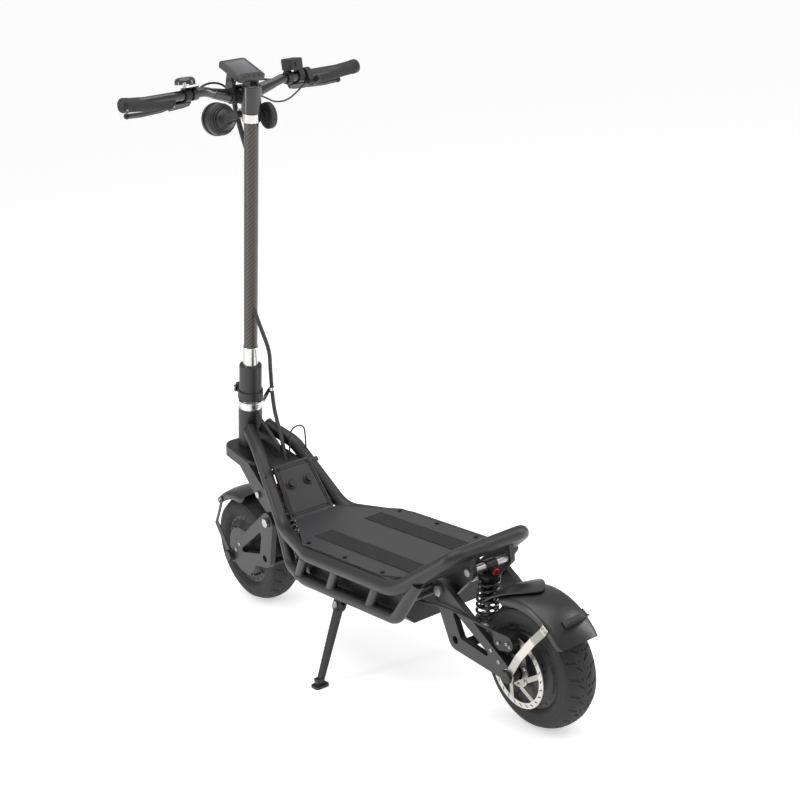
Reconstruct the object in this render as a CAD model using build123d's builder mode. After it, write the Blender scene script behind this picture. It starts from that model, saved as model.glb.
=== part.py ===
# Electric kick scooter: tubular frame, two swingarms, folding stem.
# +X is the scooter's left, the front faces -Y and +Z is up.  The origin is on the
# floor, midway between the two axles.
import math
import os

from build123d import *

os.makedirs("parts", exist_ok=True)

# ---- Driving sizes, in millimetres ------------------------------------------
# Clearances
RUN_FIT = 0.05          # radial play of a shaft in its bore
FACE_GAP = 0.3          # gap between faces that slide past each other

# Wheels
WHEELBASE = 1108
TYRE_R = 141
TYRE_HALF_W = 44
CROWN_HALF_W = 17       # flat running band of the tread
BEAD_R = 85
BEAD_HALF_W = 30
RIM_FLANGE_R = 91
RIM_FLANGE_W = 3.2
HUB_FACE_X = 50         # outer face of the motor cover
AXLE_R = 8
BEARING_R = 16
STATOR_R = 66
STATOR_SLOTS = 18

# Brake discs
DISC_R = 80
DISC_T = 2.2
DISC_X = 61             # inner face of the disc
DISC_BAND = 13          # width of the braking band

# Swingarms
ARM_REACH = 208         # pivot to axle, level distance
PIVOT_Z = 276
SHOCK_LOW_REACH = 172   # lower shock eye to axle, level distance
SHOCK_LOW_Z = 172
SHOCK_TOP_REACH = 137
SHOCK_TOP_Z = 326
ARM_X = 72              # inner face of the arm
ARM_T = 14
ARM_PIVOT_R = 24
ARM_CORNER_R = 24
ARM_TIP_R = 17
PIVOT_SHAFT_R = 8

# Shocks
SHOCK_BOLT_R = 5
EYE_R = 12
EYE_HALF_W = 14
LOW_EYE_PLAY = 1.0      # the open pivot of the suspension loop
DAMPER_R = 16
DAMPER_BORE_R = 13
ROD_R = 6
SPRING_R = 22.6
SPRING_WIRE_R = 3.3
SPRING_TURNS = 7
PERCH_R = 26

# Plates that carry a swingarm, on the frame and on the fork
PLATE_X = 46
PLATE_T = 12

# Steering axis
RAKE = 14.82            # degrees from vertical
TRAIL = 83
CROWN_S = 412           # positions along the steering axis, from the floor
CROWN_T = 30
HEAD_LOW_S = 444.5
HEAD_TOP_S = 546
HEAD_R = 30
COLUMN_R = 15
HEAD_BEARING_R = 24
HEAD_BEARING_T = 10
RING_TOP_S = 566

# Folding joint and lock sleeve
FOLD_PIN_S = 586
FOLD_PIN_BACK = 14      # pin's offset behind the steering axis
FOLD_PIN_R = 4
FOLD_STEP = 10          # each half stops this far from the pin
KNUCKLE_R = 9
FOLD_R = 23
SLEEVE_R = 28
SLEEVE_BORE_R = 24.8
SLEEVE_LOW_S = 572
SLEEVE_TOP_S = 664

# Stem
ADAPTER_R = 19
ADAPTER_TOP_S = 714
STEM_R = 17
STEM_TOP_S = 1372
CLAMP_S = 1290
CLAMP_H = 20
HEAD_BLOCK_S = 1313
HEAD_BLOCK_R = 23
BAR_S = 1346
BAR_FORWARD = 38        # handlebar centre ahead of the steering axis

# Handlebar
BAR_CENTRE_R = 15.9
BAR_R = 11.1
BAR_END_X = 318
BAR_BEND_X = 105
BAR_RISE_X = 46
BAR_END_Y = -318
BAR_END_Z = 1330
GRIP_R = 16.5
GRIP_IN_X = 196
GRIP_OUT_X = 308
GRIP_RING_W = 8
LEVER_DOWN = 35         # degrees below level of the brake levers' plane

# Frame
RAIL_R = 16.5
RAIL_WALL = 2.5
LOW_RAIL_R = 15
STRUT_R = 12
DECK_TOP_Z = 297.5
DECK_T = 3
DECK_HALF_W = 144
RAIL_X = 150
LOW_RAIL_X = 132
LOW_RAIL_Z = 198
STRUT_Y = (-150, -20, 137)
STRUT_LEAN = 72
BOX_HALF_W = 110
BOX_FRONT_Y = -200
BOX_REAR_Y = 240
BOX_LOW_Z = 172
BOX_WALL = 2.5

# Kickstand
STAND_PIVOT = (128, 3, 163)
STAND_FOOT = (222, 22, 0)
STAND_R = 9

# ---- Worked out from the driving sizes --------------------------------------
AXLE_Z = TYRE_R
RAIL_Z = DECK_TOP_Z - DECK_T - RAIL_R - FACE_GAP
rake_sin = math.sin(math.radians(RAKE))
rake_cos = math.cos(math.radians(RAKE))
STEER = Plane(origin=(0, -WHEELBASE / 2 - TRAIL, 0), x_dir=(1, 0, 0), z_dir=(0, rake_sin, rake_cos))
FOLD_PLANE = STEER.offset(FOLD_PIN_S)
ENDS = (("front", -WHEELBASE / 2, -1), ("rear", WHEELBASE / 2, 1))


def on_steer(x, back, along):
    """A point given across, behind and along the steering axis."""
    return STEER.from_local_coords(Vector(x, back, along))


def reach(axle_y, way, distance, height):
    """A point in the side view, a level distance from the axle towards its pivot."""
    return (axle_y - way * distance, height)


def mirrored(points):
    """The points, then their mirror images in reverse, as one left-to-right path."""
    return points + [(-x, y, z) for x, y, z in reversed(points)]


# ---- Frame -------------------------------------------------------------------
# Head tube with bearing seats
with BuildPart() as head_tube:
    with BuildSketch(STEER.offset(HEAD_LOW_S)):
        Circle(HEAD_R)
    extrude(amount=HEAD_TOP_S - HEAD_LOW_S)
    with BuildSketch(STEER.offset(HEAD_LOW_S)):
        Circle(COLUMN_R + 4)
    extrude(amount=HEAD_TOP_S - HEAD_LOW_S, mode=Mode.SUBTRACT)
    for seat_s in (HEAD_LOW_S, HEAD_TOP_S - HEAD_BEARING_T):
        with BuildSketch(STEER.offset(seat_s)):
            Circle(HEAD_BEARING_R + RUN_FIT)
        extrude(amount=HEAD_BEARING_T, mode=Mode.SUBTRACT)
head_tube.part.label = "head_tube"
export_step(head_tube.part, "parts/head_tube.step")

# Upper rails: one bent tube from the head tube, along the deck and round the tail
UPPER_POINTS = [
    (26, -472, 476),
    (52, -395, 438),
    (90, -261, RAIL_Z),
    (RAIL_X, -70, RAIL_Z),
    (RAIL_X, 270, RAIL_Z),
    (98, 420, 371),
]
UPPER_RADII = (90, 80, 120, 110, 30)
with BuildPart() as upper_rails:
    with BuildLine() as upper_path:
        FilletPolyline(*mirrored(UPPER_POINTS), radius=UPPER_RADII + UPPER_RADII[::-1])
    with BuildSketch(Plane(origin=upper_path.line @ 0, z_dir=upper_path.line % 0)):
        Circle(RAIL_R)
        Circle(RAIL_R - RAIL_WALL, mode=Mode.SUBTRACT)
    sweep(path=upper_path.line)
    with BuildSketch(STEER.offset(HEAD_LOW_S)):
        Circle(HEAD_R)
    extrude(amount=HEAD_TOP_S - HEAD_LOW_S, mode=Mode.SUBTRACT)
upper_rails.part.label = "upper_rails"
export_step(upper_rails.part, "parts/upper_rails.step")

# The same tube, filled, that coped joints are cut with
with BuildPart() as upper_cutter:
    add(upper_path.line)
    with BuildSketch(Plane(origin=upper_path.line @ 0, z_dir=upper_path.line % 0)):
        Circle(RAIL_R)
    sweep(path=upper_path.line)

# Lower rails: branch off under the neck, run beside the tray, rise again at the tail
LOWER_POINTS = [
    (88, -272, 288),
    (112, -213, 205),
    (LOW_RAIL_X, -125, LOW_RAIL_Z),
    (LOW_RAIL_X, 240, LOW_RAIL_Z),
    (131, 333, 305),
]
with BuildPart() as lower_rails:
    with BuildLine() as lower_path:
        FilletPolyline(*LOWER_POINTS, radius=(45, 90, 45))
    with BuildSketch(Plane(origin=lower_path.line @ 0, z_dir=lower_path.line % 0)):
        Circle(LOW_RAIL_R)
    sweep(path=lower_path.line)
    mirror(about=Plane.YZ)
    add(upper_cutter.part, mode=Mode.SUBTRACT)
lower_rails.part.label = "lower_rails"
export_step(lower_rails.part, "parts/lower_rails.step")

# Side struts: three leaning tubes between the rails on each side
with BuildPart() as side_struts:
    for strut_y in STRUT_Y:
        foot = Vector(LOW_RAIL_X, strut_y, LOW_RAIL_Z)
        top = Vector(RAIL_X, strut_y + STRUT_LEAN, RAIL_Z)
        with BuildSketch(Plane(origin=foot, z_dir=top - foot)):
            Circle(STRUT_R)
        extrude(amount=(top - foot).length)
    mirror(about=Plane.YZ)
    add(upper_cutter.part, mode=Mode.SUBTRACT)
    add(lower_rails.part, mode=Mode.SUBTRACT)
side_struts.part.label = "side_struts"
export_step(side_struts.part, "parts/side_struts.step")

# Neck panel's plane, and the cable loom that enters the neck above it
NECK_PANEL = Plane(origin=(0, -336, 412), x_dir=(1, 0, 0), z_dir=(0, 0.867, 0.4977))
PANEL_L = 139
PANEL_TOP_HALF = 51
PANEL_LOW_HALF = 62
PANEL_DEPTH = 10
PANEL_WALL = 3
STRAP_T = 4
PORT_X = 25
PORT_DOWN = 54
PORT_R = 8
PANEL_SCREWS = ((-42, 10), (42, 10), (-52, 128), (52, 128))
LOOM_R = 5
LOOM_TIE = (-42, -452, 570)
LOOM_LOW = [LOOM_TIE, (-42, -456.5, 525), (-30, -425, 482), (-12, -384, 445), (-6, -370, 388)]

# Gussets: neck fin and roof, cross tubes, rear suspension plates, kickstand bracket
REAR_AXLE_Y = WHEELBASE / 2
REAR_PIVOT = reach(REAR_AXLE_Y, 1, ARM_REACH, PIVOT_Z)
REAR_SHOCK_TOP = reach(REAR_AXLE_Y, 1, SHOCK_TOP_REACH, SHOCK_TOP_Z)
REAR_CROSS = (296, 262)
CROSS_TUBES = ((-213, 205, 112), (*REAR_CROSS, 131))
CROSS_R = 12
NECK_ROOF = Plane(origin=(0, -468, 447), x_dir=(1, 0, 0), z_dir=(0, 0.39, 0.92))
stand_leg = Vector(*STAND_FOOT) - Vector(*STAND_PIVOT)
STAND_HINGE = Vector(-stand_leg.Z, 0, stand_leg.X).normalized()
STAND = Plane(origin=STAND_PIVOT, x_dir=(0, 1, 0), z_dir=STAND_HINGE)
STAND_LEG_HALF = 5.6
STAND_EAR_T = 5
STAND_EAR_R = 12
with BuildPart() as frame_gussets:
    with BuildSketch(Plane.YZ.offset(-4)):
        Polygon((-495, 517), (-473, 517), (-386, 448), (-386, 424), (-500, 468), align=None)
    extrude(amount=8)
    with BuildSketch(NECK_ROOF):
        Polygon((-20, 0), (20, 0), (46, 116), (-46, 116), align=None)
    extrude(amount=-4)
    with BuildSketch(Plane(origin=LOOM_LOW[-1], z_dir=Vector(*LOOM_LOW[-2]) - Vector(*LOOM_LOW[-1]))):
        Circle(LOOM_R + FACE_GAP)
    extrude(amount=40, mode=Mode.SUBTRACT)
    with BuildSketch(NECK_PANEL.offset(-PANEL_DEPTH - FACE_GAP)):
        with Locations(*[(0, y) for x, y in PANEL_SCREWS[1:3]]):
            Rectangle(160, 12)
        with Locations(*PANEL_SCREWS):
            Circle(2.5, mode=Mode.SUBTRACT)
    extrude(amount=-STRAP_T)
    for tube_y, tube_z, half in CROSS_TUBES:
        with BuildSketch(Plane.YZ.offset(-half)):
            with Locations((tube_y, tube_z)):
                Circle(CROSS_R)
        extrude(amount=2 * half)
    for plate_x in (PLATE_X, -PLATE_X - PLATE_T):
        with BuildSketch(Plane.YZ.offset(plate_x)):
            with Locations(REAR_PIVOT):
                Circle(22)
            with Locations(REAR_SHOCK_TOP):
                Circle(15)
            with Locations((UPPER_POINTS[-1][1], UPPER_POINTS[-1][2] - RAIL_R / 2)):
                Circle(10)
            with Locations(REAR_CROSS):
                Circle(CROSS_R)
            make_hull()
        extrude(amount=PLATE_T)
    for ear_low in (-STAND_LEG_HALF - FACE_GAP - STAND_EAR_T, STAND_LEG_HALF + FACE_GAP):
        with BuildSketch(STAND.offset(ear_low)):
            Circle(STAND_EAR_R)
            with Locations((0, 16)):
                Rectangle(2 * STAND_EAR_R, 6)
            make_hull()
        extrude(amount=STAND_EAR_T)
    with BuildSketch(STAND.offset(-STAND_LEG_HALF - FACE_GAP - STAND_EAR_T)):
        with Locations((0, 16.5)):
            Rectangle(2 * STAND_EAR_R, 5)
    extrude(amount=2 * (STAND_LEG_HALF + FACE_GAP + STAND_EAR_T) + 6)
    with BuildSketch(STAND.offset(-20)):
        Circle(4 + RUN_FIT)
    extrude(amount=40, mode=Mode.SUBTRACT)
    with BuildSketch(Plane.YZ.offset(-PLATE_X - PLATE_T)):
        with Locations(REAR_PIVOT):
            Circle(PIVOT_SHAFT_R + RUN_FIT)
        with Locations(REAR_SHOCK_TOP):
            Circle(SHOCK_BOLT_R + RUN_FIT)
    extrude(amount=2 * (PLATE_X + PLATE_T), mode=Mode.SUBTRACT)
    add(upper_cutter.part, mode=Mode.SUBTRACT)
    add(lower_rails.part, mode=Mode.SUBTRACT)
    with BuildSketch(STEER.offset(HEAD_LOW_S)):
        Circle(HEAD_R)
    extrude(amount=HEAD_TOP_S - HEAD_LOW_S, mode=Mode.SUBTRACT)
frame_gussets.part.label = "frame_gussets"
export_step(frame_gussets.part, "parts/frame_gussets.step")

# Neck panel: a shallow box lid between the upper rails, carrying two charge ports
with BuildPart() as neck_panel:
    with BuildSketch(NECK_PANEL):
        Polygon(
            (-PANEL_TOP_HALF, 0),
            (PANEL_TOP_HALF, 0),
            (PANEL_LOW_HALF, PANEL_L),
            (-PANEL_LOW_HALF, PANEL_L),
            align=None,
        )
    extrude(amount=-PANEL_DEPTH)
    back_face = neck_panel.faces().sort_by(Axis(NECK_PANEL.origin, NECK_PANEL.z_dir))[0]
    offset(amount=-PANEL_WALL, openings=back_face)
    with BuildSketch(NECK_PANEL):
        with Locations((PORT_X, PORT_DOWN), (-PORT_X, PORT_DOWN)):
            Circle(PORT_R + RUN_FIT)
        with Locations(*PANEL_SCREWS):
            Circle(2.5)
    extrude(amount=-PANEL_WALL, mode=Mode.SUBTRACT)
neck_panel.part.label = "neck_panel"
export_step(neck_panel.part, "parts/neck_panel.step")

# Charge ports: a threaded socket behind the panel with a knurled cap in front
with BuildPart() as charge_ports:
    with BuildSketch(NECK_PANEL.offset(-14)):
        with Locations((PORT_X, PORT_DOWN), (-PORT_X, PORT_DOWN)):
            Circle(PORT_R)
    extrude(amount=14)
    with BuildSketch(NECK_PANEL):
        with Locations((PORT_X, PORT_DOWN), (-PORT_X, PORT_DOWN)):
            Circle(11)
    extrude(amount=3)
    with BuildSketch(NECK_PANEL.offset(3)):
        with Locations((PORT_X, PORT_DOWN), (-PORT_X, PORT_DOWN)):
            RegularPolygon(8, 8)
    extrude(amount=8)
charge_ports.part.label = "charge_ports"
export_step(charge_ports.part, "parts/charge_ports.step")

# Deck plate: an eight-sided sheet screwed down over the tray and the rails
DECK_OUTLINE = ((60, -250), (DECK_HALF_W, -94), (DECK_HALF_W, 213), (104, 305))
DECK_SCREWS = [(x, y) for x in (-132, 132) for y in (-86, 60, 205)]
SCREW_R = 3
with BuildPart() as deck_plate:
    with BuildSketch(Plane.XY.offset(DECK_TOP_Z - DECK_T)):
        Polygon(*DECK_OUTLINE, *[(-x, y) for x, y in DECK_OUTLINE[::-1]], align=None)
        with Locations(*DECK_SCREWS):
            Circle(SCREW_R, mode=Mode.SUBTRACT)
    extrude(amount=DECK_T)
deck_plate.part.label = "deck_plate"
export_step(deck_plate.part, "parts/deck_plate.step")

# Grip strips: two sheets of grit tape stuck to the deck
STRIP_X = 72.5
STRIP_W = 49
STRIP_FRONT_Y = -114
STRIP_REAR_Y = 270
STRIP_T = 1.2
with BuildPart() as grip_strips:
    with BuildSketch(Plane.XY.offset(DECK_TOP_Z)):
        with Locations((STRIP_X, (STRIP_FRONT_Y + STRIP_REAR_Y) / 2), (-STRIP_X, (STRIP_FRONT_Y + STRIP_REAR_Y) / 2)):
            Rectangle(STRIP_W, STRIP_REAR_Y - STRIP_FRONT_Y)
    extrude(amount=STRIP_T)
grip_strips.part.label = "grip_strips"
export_step(grip_strips.part, "parts/grip_strips.step")

# Frame fasteners: deck and panel screws, rear pivot shaft, upper shock bolt, stand pin
HEX_R = 12
HEX_H = 8
ARM_OUT_X = ARM_X + ARM_T
with BuildPart() as frame_fasteners:
    with BuildSketch(Plane.XY.offset(DECK_TOP_Z - DECK_T)):
        with Locations(*DECK_SCREWS):
            Circle(SCREW_R - RUN_FIT)
    extrude(amount=DECK_T)
    with BuildSketch(Plane.XY.offset(DECK_TOP_Z)):
        with Locations(*DECK_SCREWS):
            Circle(5)
    extrude(amount=2.5)
    with BuildSketch(NECK_PANEL.offset(-PANEL_DEPTH - FACE_GAP - STRAP_T)):
        with Locations(*PANEL_SCREWS):
            Circle(2.5 - RUN_FIT)
    extrude(amount=PANEL_DEPTH + FACE_GAP + STRAP_T)
    with BuildSketch(NECK_PANEL):
        with Locations(*PANEL_SCREWS):
            Circle(4)
    extrude(amount=2)
    with BuildSketch(Plane.YZ.offset(-ARM_OUT_X - FACE_GAP)):
        with Locations(REAR_PIVOT):
            Circle(PIVOT_SHAFT_R)
    extrude(amount=2 * (ARM_OUT_X + FACE_GAP))
    with BuildSketch(Plane.YZ.offset(-PLATE_X - PLATE_T)):
        with Locations(REAR_SHOCK_TOP):
            Circle(SHOCK_BOLT_R)
    extrude(amount=2 * (PLATE_X + PLATE_T))
    for side in (1, -1):
        with BuildSketch(Plane.YZ.offset(side * (ARM_OUT_X + FACE_GAP))):
            with Locations(REAR_PIVOT):
                RegularPolygon(HEX_R, 6)
        extrude(amount=side * HEX_H)
        with BuildSketch(Plane.YZ.offset(side * (PLATE_X + PLATE_T))):
            with Locations(REAR_SHOCK_TOP):
                RegularPolygon(9, 6)
        extrude(amount=side * 5)
        with BuildSketch(Plane.YZ.offset(side * (EYE_HALF_W + FACE_GAP))):
            with Locations(REAR_SHOCK_TOP):
                Circle(9)
        extrude(amount=side * (PLATE_X - EYE_HALF_W - FACE_GAP))
    with BuildSketch(STAND.offset(-STAND_LEG_HALF - STAND_EAR_T - FACE_GAP)):
        Circle(4)
    extrude(amount=2 * (STAND_LEG_HALF + STAND_EAR_T + FACE_GAP))
    for side in (1, -1):
        with BuildSketch(STAND.offset(side * (STAND_LEG_HALF + STAND_EAR_T + FACE_GAP))):
            Circle(8)
        extrude(amount=side * 4)
frame_fasteners.part.label = "frame_fasteners"
export_step(frame_fasteners.part, "parts/frame_fasteners.step")

# Battery tray: folded sheet box with bevelled lower edges, hung under the deck
BOX_BEVEL = 22
BOX_OUTLINE = ((86, BOX_FRONT_Y), (BOX_HALF_W, -136), (BOX_HALF_W, BOX_REAR_Y))
BOX_TOP_Z = DECK_TOP_Z - DECK_T - FACE_GAP
with BuildPart() as battery_tray:
    with BuildSketch(Plane.XZ.offset(-BOX_FRONT_Y)):
        Polygon(
            (-BOX_HALF_W, BOX_TOP_Z),
            (-BOX_HALF_W, BOX_LOW_Z + BOX_BEVEL),
            (-BOX_HALF_W + BOX_BEVEL, BOX_LOW_Z),
            (BOX_HALF_W - BOX_BEVEL, BOX_LOW_Z),
            (BOX_HALF_W, BOX_LOW_Z + BOX_BEVEL),
            (BOX_HALF_W, BOX_TOP_Z),
            align=None,
        )
    extrude(amount=BOX_FRONT_Y - BOX_REAR_Y)
    with BuildSketch(Plane.XY.offset(BOX_LOW_Z)):
        Polygon(*BOX_OUTLINE, *[(-x, y) for x, y in BOX_OUTLINE[::-1]], align=None)
    extrude(amount=BOX_TOP_Z - BOX_LOW_Z, mode=Mode.INTERSECT)
    offset(amount=-BOX_WALL, openings=battery_tray.faces().sort_by(Axis.Z)[-1])
battery_tray.part.label = "battery_tray"
export_step(battery_tray.part, "parts/battery_tray.step")

# Battery pack and the two motor controllers ahead of it
PACK_CLEAR = 4
with BuildPart() as battery_and_controllers:
    pack_low = BOX_LOW_Z + BOX_WALL
    with BuildSketch(Plane.XY.offset(pack_low)):
        with Locations((0, (BOX_REAR_Y - 70) / 2)):
            Rectangle(2 * (BOX_HALF_W - BOX_BEVEL - PACK_CLEAR), BOX_REAR_Y + 70 - 4 * PACK_CLEAR)
        with Locations((-40, -138), (40, -138)):
            Rectangle(70, 96)
    extrude(amount=82)
battery_and_controllers.part.label = "battery_and_controllers"
export_step(battery_and_controllers.part, "parts/battery_and_controllers.step")

# Side light strips: a carrier on each side of the tray with a row of diodes
LED_Z = 246
LED_COUNT = 30
LED_PITCH = 12
with BuildPart() as led_strips:
    for side in (1, -1):
        with BuildSketch(Plane.YZ.offset(side * (BOX_HALF_W + FACE_GAP / 2))):
            with Locations((50, LED_Z)):
                Rectangle(LED_COUNT * LED_PITCH, 9)
        extrude(amount=side * 2)
        with BuildSketch(Plane.YZ.offset(side * (BOX_HALF_W + FACE_GAP / 2 + 2))):
            with Locations((50, LED_Z)):
                with GridLocations(LED_PITCH, 1, LED_COUNT, 1):
                    Circle(2.2)
        extrude(amount=side * 1.4)
led_strips.part.label = "led_strips"
export_step(led_strips.part, "parts/led_strips.step")

# Kickstand: tapered leg, hinged so that it folds forward under the rail
foot_local = STAND.to_local_coords(Vector(*STAND_FOOT))
FOOT_T = 6
with BuildPart() as kickstand:
    with BuildSketch(STAND.offset(-STAND_LEG_HALF)):
        Circle(STAND_EAR_R - 1)
        with Locations((foot_local.X * 0.93, foot_local.Y * 0.93)):
            Circle(7)
        make_hull()
        Circle(4 + RUN_FIT, mode=Mode.SUBTRACT)
    extrude(amount=2 * STAND_LEG_HALF)
    with BuildSketch(Plane.XY):
        with Locations((STAND_FOOT[0] - 4, STAND_FOOT[1])):
            RectangleRounded(36, 30, 8)
    extrude(amount=FOOT_T)
    with BuildSketch(Plane.XY.offset(FOOT_T)):
        with Locations((STAND_FOOT[0] - 5, STAND_FOOT[1] - 1)):
            RectangleRounded(22, 18, 5)
    extrude(amount=14)
    with BuildSketch(Plane.XY.offset(-40)):
        with Locations((STAND_FOOT[0], STAND_FOOT[1])):
            Rectangle(200, 200)
    extrude(amount=40, mode=Mode.SUBTRACT)
kickstand.part.label = "kickstand"
export_step(kickstand.part, "parts/kickstand.step")

# ---- Steering ------------------------------------------------------------------
# Steering column: shaft, flange and the two cheeks of the folding joint
CHEEK_IN_X = 7.4
with BuildPart() as steering_column:
    with BuildSketch(FOLD_PLANE.offset(-FOLD_STEP)):
        with Locations((0, FOLD_PIN_BACK)):
            Rectangle(2 * FOLD_R, 2 * KNUCKLE_R)
    extrude(amount=FOLD_STEP)
    with BuildSketch(Plane(origin=on_steer(0, FOLD_PIN_BACK, FOLD_PIN_S), x_dir=STEER.y_dir, z_dir=(1, 0, 0))):
        Circle(KNUCKLE_R)
    extrude(amount=FOLD_R, both=True)
    with BuildSketch(FOLD_PLANE.offset(-FOLD_STEP - 1)):
        Rectangle(2 * CHEEK_IN_X, 4 * FOLD_R)
    extrude(amount=4 * FOLD_STEP, mode=Mode.SUBTRACT)
    with BuildSketch(FOLD_PLANE.offset(-FOLD_STEP)):
        Circle(FOLD_R + 0.2)
    extrude(amount=4 * FOLD_STEP, mode=Mode.INTERSECT)
    with BuildSketch(STEER.offset(CROWN_S)):
        Circle(COLUMN_R)
    extrude(amount=RING_TOP_S - CROWN_S)
    with BuildSketch(STEER.offset(RING_TOP_S)):
        Circle(FOLD_R)
    extrude(amount=FOLD_PIN_S - FOLD_STEP - RING_TOP_S)
    with BuildSketch(Plane(origin=on_steer(0, FOLD_PIN_BACK, FOLD_PIN_S), x_dir=STEER.y_dir, z_dir=(1, 0, 0))):
        Circle(FOLD_PIN_R + 0.02)
    extrude(amount=FOLD_R, both=True, mode=Mode.SUBTRACT)
steering_column.part.label = "steering_column"
export_step(steering_column.part, "parts/steering_column.step")

# Headset: crown race, two bearings, the polished ring on top and the loom's tie arm
TIE_ARM_X = 33.5
with BuildPart() as headset:
    for low_s, height, outer in (
        (CROWN_S + CROWN_T, HEAD_LOW_S - CROWN_S - CROWN_T - FACE_GAP, COLUMN_R + 5),
        (HEAD_LOW_S, HEAD_BEARING_T - FACE_GAP, HEAD_BEARING_R),
        (HEAD_TOP_S - HEAD_BEARING_T + FACE_GAP, HEAD_BEARING_T - FACE_GAP, HEAD_BEARING_R),
        (HEAD_TOP_S + FACE_GAP, RING_TOP_S - HEAD_TOP_S - 2 * FACE_GAP, HEAD_R - 0.5),
    ):
        with BuildSketch(STEER.offset(low_s)):
            Circle(outer)
            Circle(COLUMN_R + 0.02, mode=Mode.SUBTRACT)
        extrude(amount=height)
    with BuildSketch(Plane.YZ.offset(-TIE_ARM_X)):
        with Locations(tuple(on_steer(0, 6, RING_TOP_S - 10))[1:]):
            Circle(6)
        with Locations(LOOM_TIE[1:]):
            Circle(5)
        make_hull()
    extrude(amount=-3)
    with BuildSketch(Plane.YZ.offset(-TIE_ARM_X)):
        with Locations(tuple(on_steer(0, 6, RING_TOP_S - 10))[1:]):
            Circle(5)
    extrude(amount=TIE_ARM_X - HEAD_R + 2)
    with BuildSketch(Plane(origin=LOOM_TIE, z_dir=(0, 0.1, 1))):
        Circle(LOOM_R + 2)
        Circle(LOOM_R + FACE_GAP, mode=Mode.SUBTRACT)
    extrude(amount=4, both=True)
headset.part.label = "headset"
export_step(headset.part, "parts/headset.step")

# Fork: crown block clamped on the column, two plates back to the swingarm pivot
FRONT_AXLE_Y = -WHEELBASE / 2
FRONT_PIVOT = reach(FRONT_AXLE_Y, -1, ARM_REACH, PIVOT_Z)
FRONT_SHOCK_TOP = reach(FRONT_AXLE_Y, -1, SHOCK_TOP_REACH, SHOCK_TOP_Z)
CROWN_FRONT = 40
CROWN_BACK = 95
with BuildPart() as front_fork:
    with BuildSketch(STEER.offset(CROWN_S)):
        with Locations((0, (CROWN_BACK - CROWN_FRONT) / 2)):
            RectangleRounded(2 * (PLATE_X + PLATE_T), CROWN_BACK + CROWN_FRONT, 24)
        Circle(COLUMN_R + 0.02, mode=Mode.SUBTRACT)
    extrude(amount=CROWN_T)
    fillet(front_fork.edges().group_by(Axis(STEER.origin, STEER.z_dir))[-1], radius=5)
    for plate_x in (PLATE_X, -PLATE_X - PLATE_T):
        with BuildSketch(Plane.YZ.offset(plate_x)):
            with Locations(FRONT_PIVOT):
                Circle(22)
            with Locations(FRONT_SHOCK_TOP):
                Circle(16)
            with Locations((-452, 392), (-492, 404)):
                Circle(10)
            make_hull()
        extrude(amount=PLATE_T)
    with BuildSketch(Plane.YZ.offset(-PLATE_X - PLATE_T)):
        with Locations(FRONT_PIVOT):
            Circle(PIVOT_SHAFT_R + RUN_FIT)
        with Locations(FRONT_SHOCK_TOP):
            Circle(SHOCK_BOLT_R + RUN_FIT)
    extrude(amount=2 * (PLATE_X + PLATE_T), mode=Mode.SUBTRACT)
front_fork.part.label = "front_fork"
export_step(front_fork.part, "parts/front_fork.step")

# Steering bolts: front pivot shaft, upper front shock bolt and the folding pin
with BuildPart() as steering_bolts:
    with BuildSketch(Plane.YZ.offset(-ARM_OUT_X - FACE_GAP)):
        with Locations(FRONT_PIVOT):
            Circle(PIVOT_SHAFT_R)
    extrude(amount=2 * (ARM_OUT_X + FACE_GAP))
    with BuildSketch(Plane.YZ.offset(-PLATE_X - PLATE_T)):
        with Locations(FRONT_SHOCK_TOP):
            Circle(SHOCK_BOLT_R)
    extrude(amount=2 * (PLATE_X + PLATE_T))
    for side in (1, -1):
        with BuildSketch(Plane.YZ.offset(side * (ARM_OUT_X + FACE_GAP))):
            with Locations(FRONT_PIVOT):
                RegularPolygon(HEX_R, 6)
        extrude(amount=side * HEX_H)
        with BuildSketch(Plane.YZ.offset(side * (PLATE_X + PLATE_T))):
            with Locations(FRONT_SHOCK_TOP):
                RegularPolygon(9, 6)
        extrude(amount=side * 5)
        with BuildSketch(Plane.YZ.offset(side * (EYE_HALF_W + FACE_GAP))):
            with Locations(FRONT_SHOCK_TOP):
                Circle(9)
        extrude(amount=side * (PLATE_X - EYE_HALF_W - FACE_GAP))
    with BuildSketch(Plane(origin=on_steer(0, FOLD_PIN_BACK, FOLD_PIN_S), z_dir=(1, 0, 0))):
        Circle(FOLD_PIN_R)
    extrude(amount=15.5, both=True)
steering_bolts.part.label = "steering_bolts"
export_step(steering_bolts.part, "parts/steering_bolts.step")

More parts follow.
